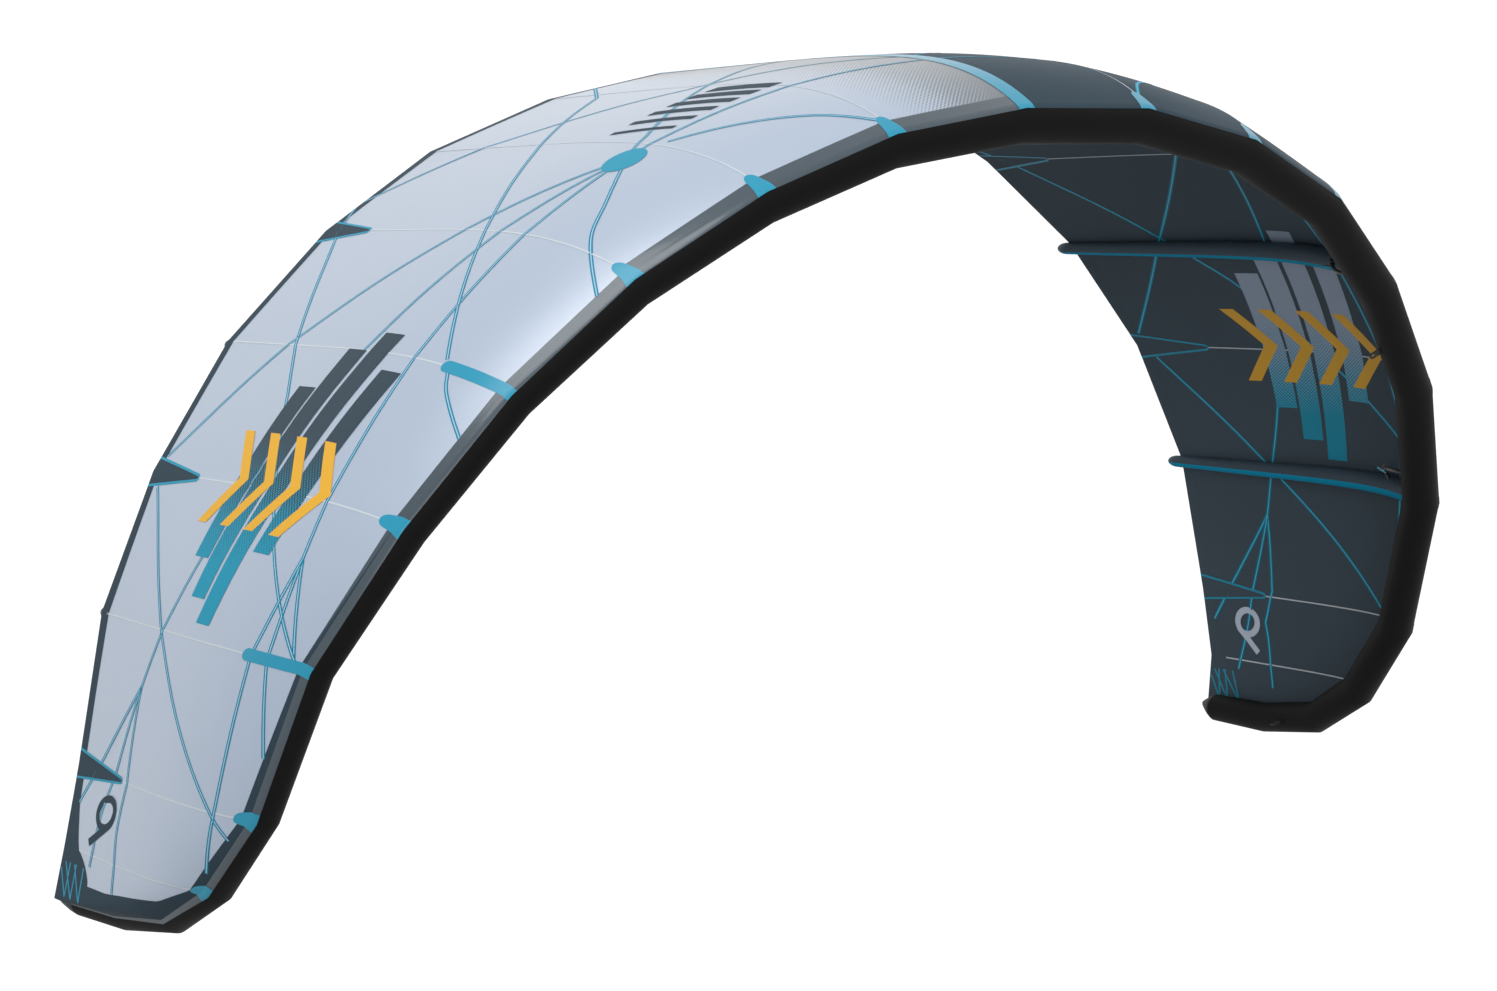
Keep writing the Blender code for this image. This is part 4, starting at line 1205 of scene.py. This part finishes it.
def make_hose(word, seam, side):
    angles = even(0, 360, HOSE_SIDES)[:-1]
    route = [mirrored(point, side) for point in hose_route(seam)]
    up = (route[1] - route[0]).orthogonal()
    hoops = []
    for before, point, after in with_neighbours(route):
        heading = (after - before).normalized()
        up = (up - up.dot(heading) * heading).normalized()
        hoops.append(Hoop(point, heading, heading.cross(up), up, HOSE_RADIUS))
    piece = Piece(f"hose_skin_{word}", "rubber")
    piece.add_tube([hoop_row(hoop, angles) for hoop in hoops], [])
    for hoop, lean in ((hoops[0], -math.pi / 2), (hoops[-1], math.pi / 2)):
        piece.add_face(piece.add_row(hoop_row(hoop._replace(lean=lean), angles)))
    piece.make("hose_rubber", f"inflation_hose_{word}")


WEBBING_WAYS = circle_points(48)
WEBBING_SOFT = 0.0006
EYELET_HALF = 0.0012
EYELET_SHIFT = 0.4
EYELET_STEPS = 10


def tab_outline(scale):
    """Points and ways out round a tab, shrunk towards its middle line."""
    half = TAB_WIDTH / 2
    eye = TAB_LENGTH - half
    spots = []
    for x, y in WEBBING_WAYS:
        if x < 0:
            stretch = half / max(-x * half / eye, abs(y))
            spot = eye + x * stretch, y * stretch * scale
        else:
            spot = eye + x * half * scale, y * half * scale
        spots.append((spot, (x, y)))
    return spots


def tab_eye(radius):
    """Points round the eye of a tab, and the ways to its middle."""
    return [((TAB_LENGTH - TAB_WIDTH / 2 + x * radius, y * radius), (-x, -y))
            for x, y in WEBBING_WAYS]


def make_line_tabs():
    """Webbing tabs with soft edges and a moulded eyelet, where the lines are tied."""
    thick = TAB_THICKNESS / 2
    rim, top = tab_outline(1), tab_outline(1 - 2 * WEBBING_SOFT / TAB_WIDTH)
    eye = tab_eye(TAB_EYE_RADIUS)
    webbing = ((eye, thick, 1), (top, thick, 1), (rim, thick - WEBBING_SOFT, 0),
               (rim, WEBBING_SOFT - thick, 0), (top, -thick, -1), (eye, -thick, -1),
               (eye, thick, 0))
    eyelet = [(tab_eye(TAB_EYE_RADIUS + EYELET_HALF * (EYELET_SHIFT + wide)),
               (thick + EYELET_HALF) * high, high) for wide, high in circle_points(EYELET_STEPS)]
    eyelet += eyelet[:1]
    for place, seam, degrees in LINE_TABS:
        middle, run, out = tube_flat(STATIONS[seam], STATIONS[seam + 1], TAB_SPAN_SHARE, degrees)
        up = out.cross(run)

        def tab_corner(spot, way, height, upright):
            level = 1 - abs(upright)
            return Corner(middle + out * (GAP + spot[0]) + run * spot[1] + up * height,
                          (level * (out * way[0] + run * way[1]) + up * upright).normalized(),
                          spot)

        for word, side in SIDES:
            for name, look, rings, slot, nodes in (
                    ("webbing", "webbing", webbing, "webbing", (f"line_tab_{place}_{word}",)),
                    ("eyelet", "plastic", eyelet, "black_plastic", ())):
                piece = Piece(f"{name}_{place}_{word}", look)
                piece.add_tube([[tab_corner(*spot, height, upright) for spot in ring]
                                for ring, height, upright in rings], [])
                piece.make(slot, *nodes, side=side)


def finish_nodes():
    """Moulded nodes, and those inside the skins, keep their solids and take their own looks."""
    for name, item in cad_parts.items():
        for key, look in NODE_LOOKS.items():
            if key in name:
                item.data.materials.clear()
                item.data.materials.append(LOOKS[look])


def make_camera():
    camera = bpy.data.cameras.new("camera")
    camera.sensor_width = CAMERA_SENSOR_MM
    camera.lens = CAMERA_FOCAL_PX / IMAGE_WIDTH * CAMERA_SENSOR_MM
    camera.clip_end = CAMERA_REACH
    item = placed("camera", camera)
    item.matrix_world = Matrix.Translation(CAMERA_PLACE)
    for degrees, axis in CAMERA_TURNS_DEG:
        item.matrix_world @= Matrix.Rotation(math.radians(degrees), 4, axis)
    bpy.context.scene.camera = item


# Studio: a soft key high on the right wing's side, a weaker fill, white all round
FLOOR_DROP = 1.6
FLOOR_SIZE = 400.0
FLOOR_COLOUR = "D2D2D2"
FLOOR_ROUGHNESS = 0.9
FLOOR_BOUNCE = 0.22
FLOOR_GLOW = 0.42
WORLD_STRENGTH = 0.42
LIGHT_DISTANCE = 20.0
LIGHTS = (("key", (-0.42, -0.12, 0.87), 44.0, 1.85), ("fill", (-0.5, -0.86, 0.12), 60.0, 1.3))


def make_lights():
    for name, way, softness_deg, strength in LIGHTS:
        lamp = bpy.data.lights.new(name, "SUN")
        lamp.angle = math.radians(softness_deg)
        lamp.energy = strength
        item = placed(name, lamp)
        item.location = Vector(way) * LIGHT_DISTANCE
        item.rotation_euler = Vector(way).to_track_quat("Z", "Y").to_euler()


def make_floor():
    height = cad_box[0][2] - FLOOR_DROP
    bpy.ops.mesh.primitive_plane_add(size=FLOOR_SIZE, location=(0, 0, height))
    floor = bpy.context.object
    floor.name = "floor"
    look = bpy.data.materials.new("floor_white")
    shader = Shader(look, "Principled BSDF", Roughness=FLOOR_ROUGHNESS, Emission_Color=WHITE)
    seen = shader.seen()
    dim = [FLOOR_BOUNCE] * 3 + [1.0]
    shader.feed(shader.main, "Emission Strength", shader.sum("MULTIPLY", seen, FLOOR_GLOW))
    shader.feed(shader.main, "Base Color", shader.mix(seen, dim, linear(FLOOR_COLOUR)))
    floor.data.materials.append(look)


def make_world():
    """A plain white surround, dimmer as a light than it looks."""
    world = bpy.data.worlds.new("studio")
    bpy.context.scene.world = world
    shader = Shader(world, "Background", Color=WHITE)
    strength = shader.add("Mix", {0: shader.seen(), 2: WORLD_STRENGTH, 3: 1.0}, data_type="FLOAT")
    shader.feed(shader.main, "Strength", strength)


make_camera()
make_lights()
make_floor()
make_world()
bpy.context.scene.view_settings.view_transform = "Standard"
make_tube()
sheets = make_canopy()
groups = {"left": [], "right": []}
for maker in (make_load_lines, make_seam_tapes, make_border, make_patches, make_tabs):
    for word, side in SIDES:
        groups[word].append(maker(word, side))
make_centre_band()
for word, side in SIDES:
    for maker in (make_disc, make_figure, make_corner_stitches, make_stripes, make_chevrons,
                  make_crest_bars):
        groups[word].append(maker(word, side))
for strut in strut_names():
    make_strut(*strut)
    make_strut_bladder(*strut)
for strut in strut_names():
    make_hose(*strut)
make_line_tabs()
finish_nodes()
